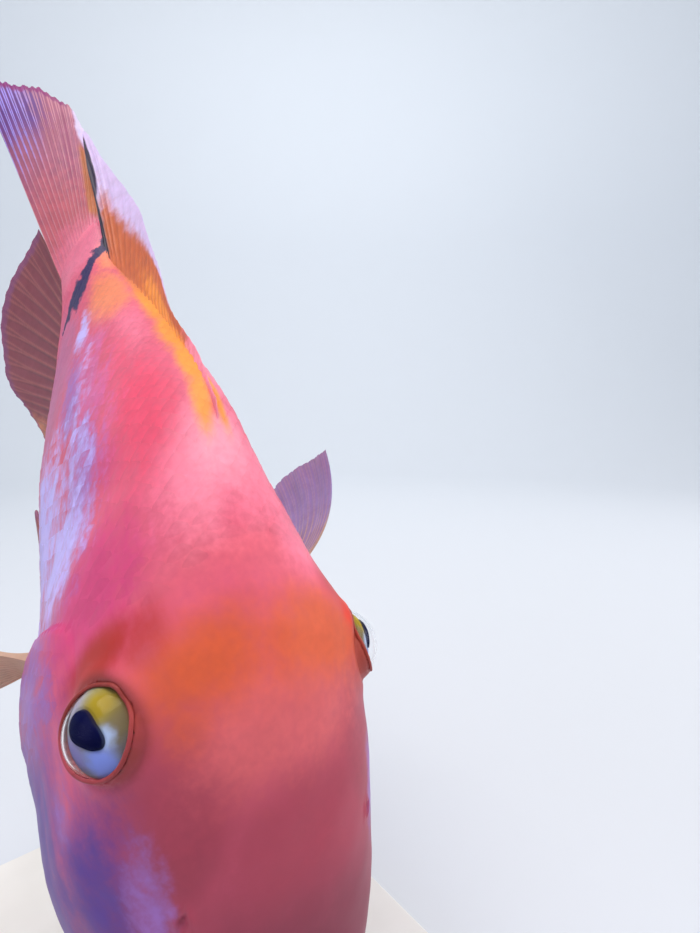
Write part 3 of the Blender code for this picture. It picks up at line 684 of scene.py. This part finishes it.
def make_scales(material):
    """The coat of scales: each is a thin plate whose root is sunk in the skin and whose round
    rear edge stands a little proud, over the roots of the two behind it. On the head they
    lie deeper, till they are lost in the skin."""
    roots, draw = scale_roots()
    fleck = draw.uniform(0, 1, len(roots))
    u, v = np.meshgrid(np.linspace(0, 1, SCALE_GRID[0]) ** 0.85, np.linspace(-1, 1, SCALE_GRID[1]),
                       indexing="ij")
    round_end = np.sqrt(np.clip(1 - ((u - 0.45) / 0.56) ** 2, 0.02, 1))
    wide = np.where(u > 0.45, round_end, 0.80 + 0.20 * (u / 0.45))
    half = math.pi / SCALE_ROWS * 1.12
    s = roots[:, None, None, 0] + roots[:, None, None, 2] * u
    s = np.minimum(s, TAIL_END - 0.004)
    angle = roots[:, None, None, 1] + half * wide * v
    shown = 0.45 + 0.55 * ease(0.27, 0.40, roots[:, 0])[:, None, None]
    rise = COAT_DEPTH * (-0.9 + (0.9 + 0.6 * shown) * ease(0.0, 0.95, u))
    rise = rise + 0.06 * MM * (1 - v ** 2) * shown
    base = relief(s, angle)
    top = place(flesh(s, angle, base + rise))
    under = place(flesh(s, angle, base - 0.45 * MM))
    count = SCALE_GRID[0] * SCALE_GRID[1]
    one = np.concatenate(plate_faces(*SCALE_GRID))
    rim = np.maximum(ease(0.55, 1.0, u), ease(0.75, 1.0, np.abs(v)) * ease(0.3, 0.6, u)) * shown
    root_uv = body_uv(roots[:, 0], roots[:, 1])[:, None, None, :]
    patch = root_uv + 0.0015 * np.stack([v, 2 * u - 1], -1)
    for side, name in ((1, "right"), (-1, "left")):
        mine = np.cos(roots[:, 1]) * side > 0
        total = int(mine.sum())
        shells = [shell[mine].reshape(total, count, 3) for shell in (top, under)]
        points = np.stack(shells, 1).reshape(-1, 3)
        faces = (one[None] + (np.arange(total) * 2 * count)[:, None, None]).reshape(-1, 4)
        marks = marks_at(on_both(s[mine], count), on_both(angle[mine], count))
        marks["edge"] = on_both(rim[mine], count)
        marks["fleck"] = np.repeat(fleck[mine], 2 * count)
        uv = np.repeat(patch[mine].reshape(total, 1, count, 2), 2, 1).reshape(-1, 2)
        coat = make_piece(f"scales_{name}", points, [faces], material, marks, uv, crisp=True)


def tips_of(table, t):
    """Ends of the rays, on a smooth curve through the table's points."""
    table = np.array(table, float)
    return np.stack([smooth(table[:, (0, k)], t) for k in (1, 2, 3)], -1)


def ray_pattern(x, v, split):
    """Height of the rays across a fin, from 0 to 1: x is the distance from the nearest ray in
    ray spacings. Past the split a ray is two branches, and then four, each narrower."""
    first = 0.21 * ease(split, 1.05, v)
    second = 0.095 * ease(split + 0.28, 1.1, v)
    slim = RAY_WIDTH * (1 - 0.55 * ease(split - 0.05, split + 0.45, v))
    rays = [bump(x, a * first + b * second, slim) for a in (-1, 1) for b in (-1, 1)]
    return np.max(rays, axis=0)


def make_fin(node, material, roots, tips, rays, fine=(12, 60), bow=(0, 0, 0), spines=0.0,
             ray=0.50 * MM, split=0.42, notch=0.014, wave=0.4 * MM, lobe=0.0, soft_front=0.0,
             paint=(), seed=1):
    """A fan of rays in one thin closed sheet. The middle surface runs straight or bowed from
    root to tip. Both faces stand off it by the membrane, with each ray as a ridge that thins
    and branches to the margin. Spines, the first share of the rays, don't branch. Paint is
    a function of the place along the root and up the ray, for each named colour, and one
    whose name ends in rays lies on the rays alone."""
    draw = np.random.default_rng(seed)
    t = np.linspace(0, 1, (rays - 1) * fine[0] + 1)
    v = np.linspace(0, 1, fine[1])[:, None]
    count = t * (rays - 1)
    near = np.round(count).astype(int)
    x = (count - near)[None, :]
    is_spine = ease(spines + 0.01, spines - 0.01, t)[None, :] if spines else np.zeros((1, len(t)))
    branching = ray_pattern(x, v, split)
    plain = bump(x, 0, RAY_WIDTH * 1.1) * np.ones_like(v)
    pattern = (branching * (1 - is_spine) + plain * is_spine) * (1 - soft_front * ease(0.16, 0.0, t))
    longer = draw.normal(0, 0.004, rays)[near] * np.ones_like(v)
    dip = (notch + 0.03 * is_spine) * (1 - np.exp(-(x / 0.22) ** 2) * (0.55 + 0.45 * pattern))
    reach = v * (1 + (longer - dip) * ease(0.5, 1.0, v))
    start, end = roots(t), tips_of(tips, t)
    arch = (4 * reach * (1 - reach))[..., None] * np.array(bow)
    middle = place(start + (end - start) * reach[..., None] + arch)
    normal = unit(np.cross(np.gradient(middle, axis=1), np.gradient(middle, axis=0)))
    sway = wave * ease(0.15, 1.0, v) * np.sin(2 * math.pi * (3.1 * t + 0.35 * v + 0.2 * seed))
    middle = middle + normal * sway[..., None]
    base = 1 - ease(0, 0.16, v)
    tall = (ray * (1 - 0.78 * ease(0.1, 1.0, v))) * pattern * (1 - 0.85 * base)
    half = (FIN_WEB * (1 - 0.45 * v) + tall + lobe * base ** 2)[..., None]
    off = normal * half * np.minimum(1, (1.02 - v) * 9)[..., None]
    points = np.concatenate([(middle + off).reshape(-1, 3), (middle - off).reshape(-1, 3)])
    marks = {"ray": pattern, "along": np.broadcast_to(v, pattern.shape)}
    for key, shape in dict(paint).items():
        where = pattern if key.endswith("rays") else np.ones(pattern.shape)
        marks[key] = shape(t[None, :], v) * where
    marks = {key: np.tile(a.ravel(), 2) for key, a in marks.items()}
    fin = make_piece(f"{node}_membrane", points, plate_faces(*pattern.shape), material, marks,
                     crisp=True)
    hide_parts(node)


def median_root(span, angle):
    """Root line of a fin along the back or the belly, a little way into the flesh."""
    def roots(t):
        s = span[0] + (span[1] - span[0]) * t
        return flesh(s, np.full(s.shape, angle), np.full(s.shape, -FIN_SINK))
    return roots


def flank_root(root, side):
    """Root line of a paired fin, a little way into the flank."""
    def roots(t):
        s = root[0][0] + (root[0][1] - root[0][0]) * t
        angle = angle_at(s, side, root[1][0] + (root[1][1] - root[1][0]) * t)
        return flesh(s, angle, np.full(s.shape, -FIN_SINK))
    return roots


def caudal_root(t):
    """Root line of the tail fin, inside the wedge of flesh at the end of the body, with its
    ends drawn forward along the upper and the lower edge."""
    s = CAUDAL_ROOT[0] - 0.020 * ease(0.18, 0.0, t) - 0.038 * ease(0.72, 1.0, t)
    height = CAUDAL_ROOT[1] + (CAUDAL_ROOT[2] - CAUDAL_ROOT[1]) * t
    return np.stack([s, 0 * t, height + 0.004 * ease(0.18, 0.0, t) - 0.009 * ease(0.72, 1.0, t)], -1)


def layered(tree, base, layers):
    """Mixes colours one over another: each layer is a factor socket and a colour."""
    for factor, colour in layers:
        mix = add(tree, "Mix", {0: factor, 6: base, 7: colour}, data_type="RGBA")
        base = mix.outputs[2]
    return base


def skin_material():
    """Fish skin, cast and hand painted: a satin film over translucent flesh. Broad soft marks
    with ragged, lengthwise torn edges, a fine mottle, and scales paler in the middle."""
    material, tree, shader = new_material("painted_fish_skin")
    straight = add(tree, "Attribute", attribute_name="straight").outputs["Vector"]
    stretched = add(tree, "VectorMath", {0: straight, 1: (0.22, 1, 1)}, operation="MULTIPLY").outputs[0]
    ragged, streaky, mottle, cloudy = (
        add(tree, "TexNoise", {"Vector": where, "Scale": 1 / (size * MM), "Detail": detail,
                               "Roughness": rough}).outputs["Fac"]
        for where, size, detail, rough in ((straight, 6, 6.0, 0.65), (stretched, 2.6, 3.0, 0.6),
                                           (straight, 1.5, 3.0, 0.5), (straight, 24, 3.0, 0.5)))
    fleck, edge = (add(tree, "Attribute", attribute_name=key).outputs["Fac"] for key in ("fleck", "edge"))
    layers = []
    for name, code, (low, high), rough, torn, _ in (*MARKS, LID_MARK):
        total = add(tree, "Attribute", attribute_name=name).outputs["Fac"]
        for noise, much in ((ragged, rough), (streaky, torn), (mottle, 0.2 * (rough + torn))):
            push = add(tree, "MapRange", {0: noise, 1: 0.25, 2: 0.75, 3: -0.5 * much, 4: 0.5 * much})
            kept = add(tree, "MapRange", {0: total, 1: 0.02, 2: 0.3}).outputs[0]
            total = add(tree, "Math", {0: push.outputs[0], 1: kept, 2: total},
                        operation="MULTIPLY_ADD").outputs[0]
        if name in LONE_SCALES:
            apart = LONE_SCALES[name]
            lone = add(tree, "MapRange", {0: fleck, 3: -apart, 4: apart}).outputs[0]
            total = add(tree, "Math", {0: lone, 1: kept, 2: total}, operation="MULTIPLY_ADD").outputs[0]
        factor = add(tree, "MapRange", {0: total, 1: low, 2: high}, interpolation_type="SMOOTHSTEP")
        layers.append((factor.outputs[0], srgb(code)))
    value = 1.0
    for source, low, high, first, last in ((mottle, 0.3, 0.7, 0.96, 1.04), (cloudy, 0.3, 0.7, 0.94, 1.06),
                                           (edge, 0, 1, 1.02, 0.92), (fleck, 0, 1, 0.96, 1.04)):
        tone = add(tree, "MapRange", {0: source, 1: low, 2: high, 3: first, 4: last}).outputs[0]
        value = add(tree, "Math", {0: value, 1: tone}, operation="MULTIPLY").outputs[0]
    colour = layered(tree, srgb(SKIN_BASE), layers)
    tinted = add(tree, "HueSaturation", {"Color": colour, "Value": value})
    fine = add(tree, "Bump", {"Height": mottle, "Strength": 0.25, "Distance": 0.05 * MM})
    feed(tree, shader, {
        "Base Color": tinted.outputs[0], "Normal": fine.outputs[0], "Roughness": 0.42,
        "Specular IOR Level": 0.20, "Subsurface Weight": 0.10,
        "Subsurface Radius": (1.0, 0.35, 0.25), "Subsurface Scale": 2.0 * MM})
    return material


def fin_material(name, membrane, bone, layers, ray_show):
    """Fin: a thin satin membrane with horny rays, jointed like fine bamboo. Layers are
    colours laid on by attribute: (attribute, colour, how much of it shows). Those named under
    come before the rays' own colour, and the others over it."""
    material, tree, shader = new_material(name)
    spot = add(tree, "TexCoord").outputs["Object"]
    ray, along = (add(tree, "Attribute", attribute_name=key).outputs["Fac"] for key in ("ray", "along"))
    blur = add(tree, "TexNoise", {"Vector": spot, "Scale": 1 / (4 * MM), "Detail": 5.0,
                                  "Roughness": 0.6}).outputs["Fac"]
    torn = add(tree, "MapRange", {0: blur, 1: 0.3, 2: 0.7, 3: -0.16, 4: 0.16}).outputs[0]
    colour = srgb(membrane)
    under = [layer for layer in layers if layer[0].endswith("under")]
    over = [layer for layer in layers if layer not in under]
    for key, code, strength in (*under, (None, bone, ray_show), *over):
        if key:
            held = add(tree, "Attribute", attribute_name=key).outputs["Fac"]
            inside = add(tree, "MapRange", {0: held, 1: 0.02, 2: 0.3}).outputs[0]
            total = add(tree, "Math", {0: torn, 1: inside, 2: held}, operation="MULTIPLY_ADD").outputs[0]
            factor = add(tree, "MapRange", {0: total, 1: 0.15, 2: 0.85, 4: strength},
                         interpolation_type="SMOOTHSTEP")
        else:
            factor = add(tree, "MapRange", {0: ray, 1: 0.35, 2: 0.95, 4: strength})
        colour = layered(tree, colour, [(factor.outputs[0], srgb(code))])
    cloud = add(tree, "MapRange", {0: blur, 1: 0.3, 2: 0.7, 3: 0.9, 4: 1.1}).outputs[0]
    tinted = add(tree, "HueSaturation", {"Color": colour, "Value": cloud})
    joints = add(tree, "Math", {0: along, 1: 260.0}, operation="MULTIPLY").outputs[0]
    joints = add(tree, "Math", {0: joints}, operation="SINE").outputs[0]
    joints = add(tree, "Math", {0: joints, 1: ray}, operation="MULTIPLY").outputs[0]
    fine = add(tree, "Bump", {"Height": joints, "Strength": 0.3, "Distance": 0.06 * MM})
    feed(tree, shader, {
        "Base Color": tinted.outputs[0], "Normal": fine.outputs[0], "Roughness": 0.45,
        "Specular IOR Level": 0.3, "Subsurface Weight": 0.12, "Subsurface Scale": 1.5 * MM})
    return material


def make_fins():
    """Every fin with its own colours. Under the rays' names go washes on the membrane, and
    the others lie over both. Each is a function of t along the root and v up the ray."""
    dorsal = fin_material("dorsal_membrane", "#CC6C42", "#B4583A", (
        ("glow_under", "#F4983E", 0.9), ("front", "#F88CA0", 1.0), ("white", "#DCCBF2", 0.92),
        ("dark", "#1E1838", 1.0)), 0.4)
    make_fin("dorsal_fin", dorsal, median_root(DORSAL_ROOT, math.pi / 2), DORSAL_TIPS, 30, (10, 56),
             spines=0.56, ray=0.38 * MM, lobe=0.7 * MM, soft_front=0.9, seed=2, paint={
                 "glow_under": lambda t, v: (ease(0.80, 0.25, v) * ease(0.15, 0.3, t)
                                             * (1 - 0.8 * ease(0.45, 0.75, t))),
                 "front": lambda t, v: ease(0.34, 0.12, t),
                 "white": lambda t, v: (ease(0.20, 0.5, t)
                                        * ease(0.80 - 0.62 * ease(0.45, 0.9, t), 1.10 - 0.26 * t, v)),
                 "dark": lambda t, v: np.maximum(
                     ease(0.55, 0.75, v) * ease(0.874 + 0.012 * v, 0.892 + 0.012 * v, t),
                     ease(0.90, 0.955, t))})
    anal = fin_material("anal_membrane", "#824850", "#A4645E", (
        ("front_under", "#B87C5C", 0.9), ("edge", "#7C5080", 0.6)), 0.6)
    anal_paint = {"front_under": lambda t, v: ease(0.42, 0.10, t),
                  "edge": lambda t, v: ease(0.86, 1.0, v)}
    make_fin("anal_fin", anal, median_root(ANAL_ROOT, -math.pi / 2), ANAL_TIPS, 20, (14, 60),
             spines=0.38, lobe=0.6 * MM, seed=3, paint=anal_paint)
    caudal = fin_material("caudal_membrane", "#AC6680", "#DA9AA6", (
        ("base_under", "#CC6E78", 0.9), ("violet_under", "#5E4494", 0.85), ("strip", "#C87A40", 0.85),
        ("pale_rays", "#A79EF4", 0.85), ("patch", "#E2D4F6", 0.95), ("edge", "#8C2C74", 0.85),
        ("fleshy", "#E68298", 0.95)), 0.75)
    make_fin("caudal_fin", caudal, caudal_root, CAUDAL_TIPS, 16, (18, 90), seed=4,
             lobe=0.5 * MM, wave=0.7 * MM, paint={
                 "base_under": lambda t, v: ease(0.85, 0.05, v),
                 "violet_under": lambda t, v: ease(0.50, 0.95, v) * ease(0.25, 0.7, t),
                 "strip": lambda t, v: ease(0.24, 0.10, t) * ease(0.12, 0.3, v) * ease(0.82, 0.66, v),
                 "pale_rays": lambda t, v: ease(0.40, 0.8, t) * ease(0.35, 0.8, v),
                 "patch": lambda t, v: ease(0.22, 0.10, t) * ease(0.70, 0.86, v),
                 "edge": lambda t, v: ease(0.955, 0.99, v) * ease(0.12, 0.3, t),
                 "fleshy": lambda t, v: ease(0.30, 0.04, v)})
    pectoral = fin_material("pectoral_membrane", "#9A84A4", "#CBAA90", (
        ("base_under", "#C09A7E", 0.9), ("tip", "#A49CD2", 0.6)), 0.85)
    paired = {"base_under": lambda t, v: ease(0.6, 0.2, v), "tip": lambda t, v: ease(0.40, 0.9, v)}
    for side, name, tips, bow in ((1, "right", RIGHT_PECTORAL_TIPS, RIGHT_PECTORAL_BOW),
                                  (-1, "left", LEFT_PECTORAL_TIPS, LEFT_PECTORAL_BOW)):
        make_fin(f"pectoral_fin_{name}", pectoral, flank_root(PECTORAL_ROOT, side), tips, 15, bow=bow,
                 ray=0.35 * MM, lobe=0.9 * MM, notch=0.003, paint=paired, seed=6 + side)
        mirrored = [(t, s, r * side, h) for t, s, r, h in PELVIC_TIPS]
        make_fin(f"pelvic_fin_{name}", anal, flank_root(PELVIC_ROOT, side), mirrored, 6, (20, 50),
                 ray=0.45 * MM, lobe=0.8 * MM, split=0.3, paint=anal_paint, seed=9 + side)


def eye_material():
    """The eye's ball as painted glass: a black lens in a metallic iris, yellow above, olive in front of
    that and pale blue below, with a dark outer ring. The pale blue is a painted reflection, and a bluish
    white spot by the lens a painted highlight."""
    material, tree, shader = new_material("painted_glass_eye")
    iris = add(tree, "Attribute", attribute_name="iris").outputs["Vector"]
    split = add(tree, "SeparateXYZ", {0: iris})
    flat = add(tree, "CombineXYZ", {0: split.outputs[0], 1: split.outputs[1]}).outputs[0]
    streak = add(tree, "TexNoise", {"Vector": flat, "Scale": 6.0, "Detail": 5.0}).outputs["Fac"]
    torn = add(tree, "MapRange", {0: streak, 1: 0.3, 2: 0.7, 3: -0.04, 4: 0.04}).outputs[0]
    layers = []
    for x, y, reach, code, strength in IRIS_COLOURS_AND_REFLECTIONS:
        far = add(tree, "VectorMath", {0: flat, 1: (x, y, 0)}, operation="DISTANCE").outputs["Value"]
        total = add(tree, "Math", {0: far, 1: torn}, operation="ADD").outputs[0]
        factor = add(tree, "MapRange", {0: total, 1: reach, 2: 0.25 * reach, 3: 0.0, 4: strength},
                     interpolation_type="SMOOTHSTEP")
        layers.append((factor.outputs[0], srgb(code)))
    for start, end, code in ((1.74, 2.0, "#70402F"), (1.05, 0.99, "#04062E")):
        factor = add(tree, "MapRange", {0: split.outputs[2], 1: start, 2: end},
                     interpolation_type="SMOOTHSTEP")
        layers.append((factor.outputs[0], srgb(code)))
    feed(tree, shader, {"Base Color": layered(tree, srgb("#7C7C62"), layers), "Roughness": 0.5,
                        "Specular IOR Level": 0.0})
    return material


def cornea_material():
    """Clear gel for the cornea: no colour and a sharp gloss, faint as on a wet eye."""
    material, tree, shader = new_material("clear_gel_cornea")
    feed(tree, shader, {"Base Color": (1, 1, 1, 1), "Transmission Weight": 1.0, "Roughness": 0.02,
                        "IOR": 1.13})
    return material


def eye_ball(name):
    """Middle and radius of an eye's solid."""
    low, high = (np.array(corner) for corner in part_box(f"eye_{name}"))
    return (low + high) / 2, (high[0] - low[0]) / 2


def eye_axes(side):
    """The eye's own axes in the frame: towards the snout, towards the back, and outwards."""
    s, angle = EYE_AT[0], eye_angle(side)
    look = unit(place(flesh(s, angle, 10 * MM)) - place(section(s, angle)))
    fore = place(section(s - 0.01, angle)) - place(section(s + 0.01, angle))
    fore = unit(fore - look * (fore @ look))
    return np.stack([fore, np.cross(look, fore) * side, look])


def make_eye(side, name, ball, cornea):
    """The ball is turned about the way it looks: a lens, a domed iris and the ball's side. The
    lens's outline is a drop, pointed forwards. The cornea is a cap of the ball's own radius."""
    centre, radius = eye_ball(name)
    axes = eye_axes(side)
    lens_rings, iris_rings, cols = EYE_RINGS
    turn = np.linspace(0, 2 * math.pi, cols, endpoint=False)[None, :]
    wide, deep = 0.930, 0.36
    drop = np.cos(turn - 42 * DEG)
    pupil = 0.300 * (1 + 0.70 * np.clip(drop, 0, 1) ** 5 + 0.26 * np.clip(-drop, 0, 1))
    lens = np.linspace(0.02, 1, lens_rings)[:, None]
    iris = np.linspace(0, 1, iris_rings)[:, None]
    shell = np.linspace(math.asin(wide), 0.985 * math.pi, 26)[1:, None]
    out = np.concatenate([pupil * lens, pupil + (wide - pupil) * iris, np.sin(shell) * np.ones_like(turn)])
    bulge = deep + 0.43 * (1 - (out[:lens_rings + iris_rings] / wide) ** 2)
    bulge[:lens_rings] += 0.07 * np.sqrt(np.clip(1 - (0.95 * lens) ** 2, 0, 1))
    bulge[lens_rings:] -= 0.04 * (1 - ease(0, 0.16, iris))
    side_fall = np.cos(shell) - math.sqrt(1 - wide ** 2)
    tall = np.concatenate([bulge, (deep + side_fall) * np.ones_like(turn)])
    shift = 1 - np.minimum(out / wide, 1) ** 2
    x, y = out * np.cos(turn) - 0.16 * shift, out * np.sin(turn) - 0.05 * shift
    points = (np.stack([x, y, tall], -1) * radius) @ axes + centre
    part = np.concatenate([lens, 1 + iris, np.full_like(shell, 2.5)]) * np.ones_like(turn)
    marks = {"iris": np.stack([x / wide, y / wide, part], -1).reshape(-1, 3)}
    globe = make_piece(f"eye_{name}_ball", points.reshape(-1, 3), tube_faces(*part.shape), ball, marks)
    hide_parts(f"eye_{name}")

    slope = np.linspace(0.03, math.acos(deep) + 3 * DEG, 20)[:, None]
    outer = np.concatenate([slope, slope[::-1]])
    thick = np.concatenate([np.full_like(slope, 1.0), np.full_like(slope, 0.955)])[..., None]
    shape = np.stack([np.sin(outer) * np.cos(turn), np.sin(outer) * np.sin(turn),
                      np.cos(outer) * np.ones_like(turn)], -1)
    points = ((shape * thick * radius) @ axes + centre).reshape(-1, 3)
    clear = make_piece(f"eye_{name}_cornea", points, tube_faces(len(outer), cols), cornea)
    clear.visible_shadow = False


def make_lid(side, name, material):
    """The lid's edge: a thin round rim along the eye's opening. At each turn round the eye the
    skin is followed outwards to the place where the opening starts."""
    rows, cols = LID_GRID
    turn = np.linspace(0, 2 * math.pi, rows, endpoint=False)
    tube = np.linspace(0, 2 * math.pi, cols, endpoint=False)[None, :, None]
    middle = eye_angle(side)
    step = section(EYE_AT[0], middle + DEG) - section(EYE_AT[0], middle - DEG)
    out = np.linspace(0.3, 1.5, 90) * EYE_RADIUS / STANDARD_LENGTH
    s = EYE_AT[0] - out * np.cos(turn)[:, None]
    angle = middle + side * out * np.sin(turn)[:, None] / (np.linalg.norm(step) / (2 * DEG))
    lift = bare_relief(s, angle)
    over, turned, _ = lid_on_ball(s, angle, lift, side)
    left = np.abs(turned + lid_reach(s, angle) - EYE_OPEN - 0.6 * DEG)
    best = (np.arange(rows), np.argmin(left, axis=1))
    s, angle = s[best], angle[best]
    path = place(flesh(s, angle, (lift + over)[best]))
    path = (np.roll(path, 1, 0) + 2 * path + np.roll(path, -1, 0)) / 4
    away = unit(path - eye_ball(name)[0])
    slope = unit(np.cross(np.roll(path, -1, 0) - np.roll(path, 1, 0), away))
    path = path - away * 0.12 * MM
    ring = path[:, None] + LID_EDGE * (np.cos(tube) * away[:, None] + np.sin(tube) * slope[:, None])
    marks = marks_at(np.repeat(s, cols), np.repeat(angle, cols))
    marks.update(edge=np.zeros(rows * cols), fleck=np.full(rows * cols, 0.5))
    start = np.arange(cols)
    after, last = (start + 1) % cols, (rows - 1) * cols
    joint = np.stack([last + start, last + after, after, start], -1)
    faces = [grid_faces(rows, cols, wrap=True), joint]
    rim = make_piece(f"eyelid_{name}", ring.reshape(-1, 3), faces, material, marks)


def powder_coat():
    """Powder coated aluminium: a satin off-white with a fine orange peel."""
    material, tree, shader = new_material("powder_coated_aluminium")
    spot = add(tree, "TexCoord").outputs["Object"]
    peel, wear = (
        add(tree, "TexNoise", {"Vector": spot, "Scale": 1 / (size * MM), "Detail": detail}).outputs["Fac"]
        for size, detail in ((0.9, 2.0), (30, 3.0)))
    tone = add(tree, "MapRange", {0: wear, 1: 0.3, 2: 0.7}).outputs[0]
    gloss = add(tree, "MapRange", {0: wear, 1: 0.3, 2: 0.7, 3: 0.42, 4: 0.52}).outputs[0]
    skin = add(tree, "Bump", {"Height": peel, "Strength": 0.2, "Distance": 0.04 * MM}).outputs[0]
    colour = layered(tree, srgb("#DAD8D2"), [(tone, srgb("#E4E2DD"))])
    feed(tree, shader, {"Base Color": colour, "Roughness": gloss, "Normal": skin})
    return material


def brushed_steel():
    """Stainless steel rod, brushed round: fine rings a fraction of a millimetre apart."""
    material, tree, shader = new_material("brushed_stainless_steel")
    spot = add(tree, "TexCoord").outputs["Object"]
    thin = add(tree, "Mapping", {"Vector": spot, "Scale": (0.15, 0.15, 6.0)}).outputs[0]
    lines = add(tree, "TexNoise", {"Vector": thin, "Scale": 1 / (1.6 * MM), "Detail": 3.0}).outputs["Fac"]
    gloss = add(tree, "MapRange", {0: lines, 1: 0.3, 2: 0.7, 3: 0.28, 4: 0.36}).outputs[0]
    rings = add(tree, "Bump", {"Height": lines, "Strength": 0.05, "Distance": 0.005 * MM}).outputs[0]
    feed(tree, shader, {"Base Color": srgb("#B9BABC"), "Metallic": 1.0, "Roughness": gloss,
                        "Normal": rings})
    return material


def finish_stand():
    """The stand's own solids, with their finish."""
    paint, steel = powder_coat(), brushed_steel()
    for node, material in (("stand_base", paint), ("stand_rod_front", steel), ("stand_rod_rear", steel)):
        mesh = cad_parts[node].data
        mesh.materials.clear()
        mesh.materials.append(material)


def make_studio():
    """A pale floor that curves up into a wall all round, soft lights and an even sky."""
    curve = np.linspace(0, math.pi / 2, 16)
    out = np.concatenate([[0.001, 0.6], 1.2 + 0.8 * np.sin(curve), [2.0]])
    high = np.concatenate([[0, 0], 0.8 * (1 - np.cos(curve)), [2.4]])
    turn = np.linspace(0, 2 * math.pi, 72, endpoint=False)
    points = np.stack([out[:, None] * np.cos(turn), out[:, None] * np.sin(turn),
                       high[:, None] * np.ones_like(turn)], -1)
    material, tree, shader = new_material("pale_paper")
    feed(tree, shader, {"Base Color": srgb("#D3D8DE"), "Roughness": 0.9})
    faces = [grid_faces(len(out), len(turn), wrap=True), np.arange(len(turn))[None]]
    new_object("studio_floor", new_mesh("studio_floor", points.reshape(-1, 3), faces, material))
    for name, at, aim, size, power, tint in (
            ("key", (-0.15, 0.00, 1.05), (0, 0.0, 0.16), 0.70, 7.5, "#FFF8F2"),
            ("fill", (0.90, -0.60, 0.62), (0, 0.0, 0.14), 0.90, 5.5, "#FFF6F4"),
            ("side", (-0.95, -0.10, 0.45), (0, 0.0, 0.15), 0.60, 1.5, "#D9D5FF"),
            ("wall", (0.42, 0.50, 1.45), (1.25, 1.50, 0.95), 0.80, 14.0, "#FFFFFF")):
        lamp = bpy.data.lights.new(name, "AREA")
        lamp.energy, lamp.size, lamp.color = power, size, srgb(tint)[:3]
        light = new_object(name, lamp)
        light.location = at
        x, y, z = np.array(aim) - np.array(at)
        light.rotation_euler = Euler((math.atan2(math.hypot(x, y), -z), 0, math.atan2(x, -y) + math.pi))
    world = bpy.data.worlds.new("sky")
    world.use_nodes = True
    tree = world.node_tree
    feed(tree, tree.nodes["Background"], {"Color": srgb("#EEF2F8"), "Strength": 0.7})
    bpy.context.scene.world = world


def make_camera():
    """The photograph's view: close in front of the fish's right eye, and a little above."""
    lens = bpy.data.cameras.new("camera")
    lens.lens, lens.sensor_width, lens.clip_start = CAMERA_LENS, 36.0, 0.005
    camera = new_object("camera", lens)
    camera.location = CAMERA_AT
    camera.rotation_euler = Euler((math.pi / 2 - CAMERA_DIP, 0, -CAMERA_TURN))
    bpy.context.scene.camera = camera
    bpy.context.scene.view_settings.view_transform = "Standard"


def main():
    make_camera()
    make_studio()
    skin = skin_material()
    make_skin(skin)
    make_scales(skin)
    make_fins()
    ball, cornea = eye_material(), cornea_material()
    for side, name in ((1, "right"), (-1, "left")):
        make_eye(side, name, ball, cornea)
        make_lid(side, name, skin)
    finish_stand()


main()
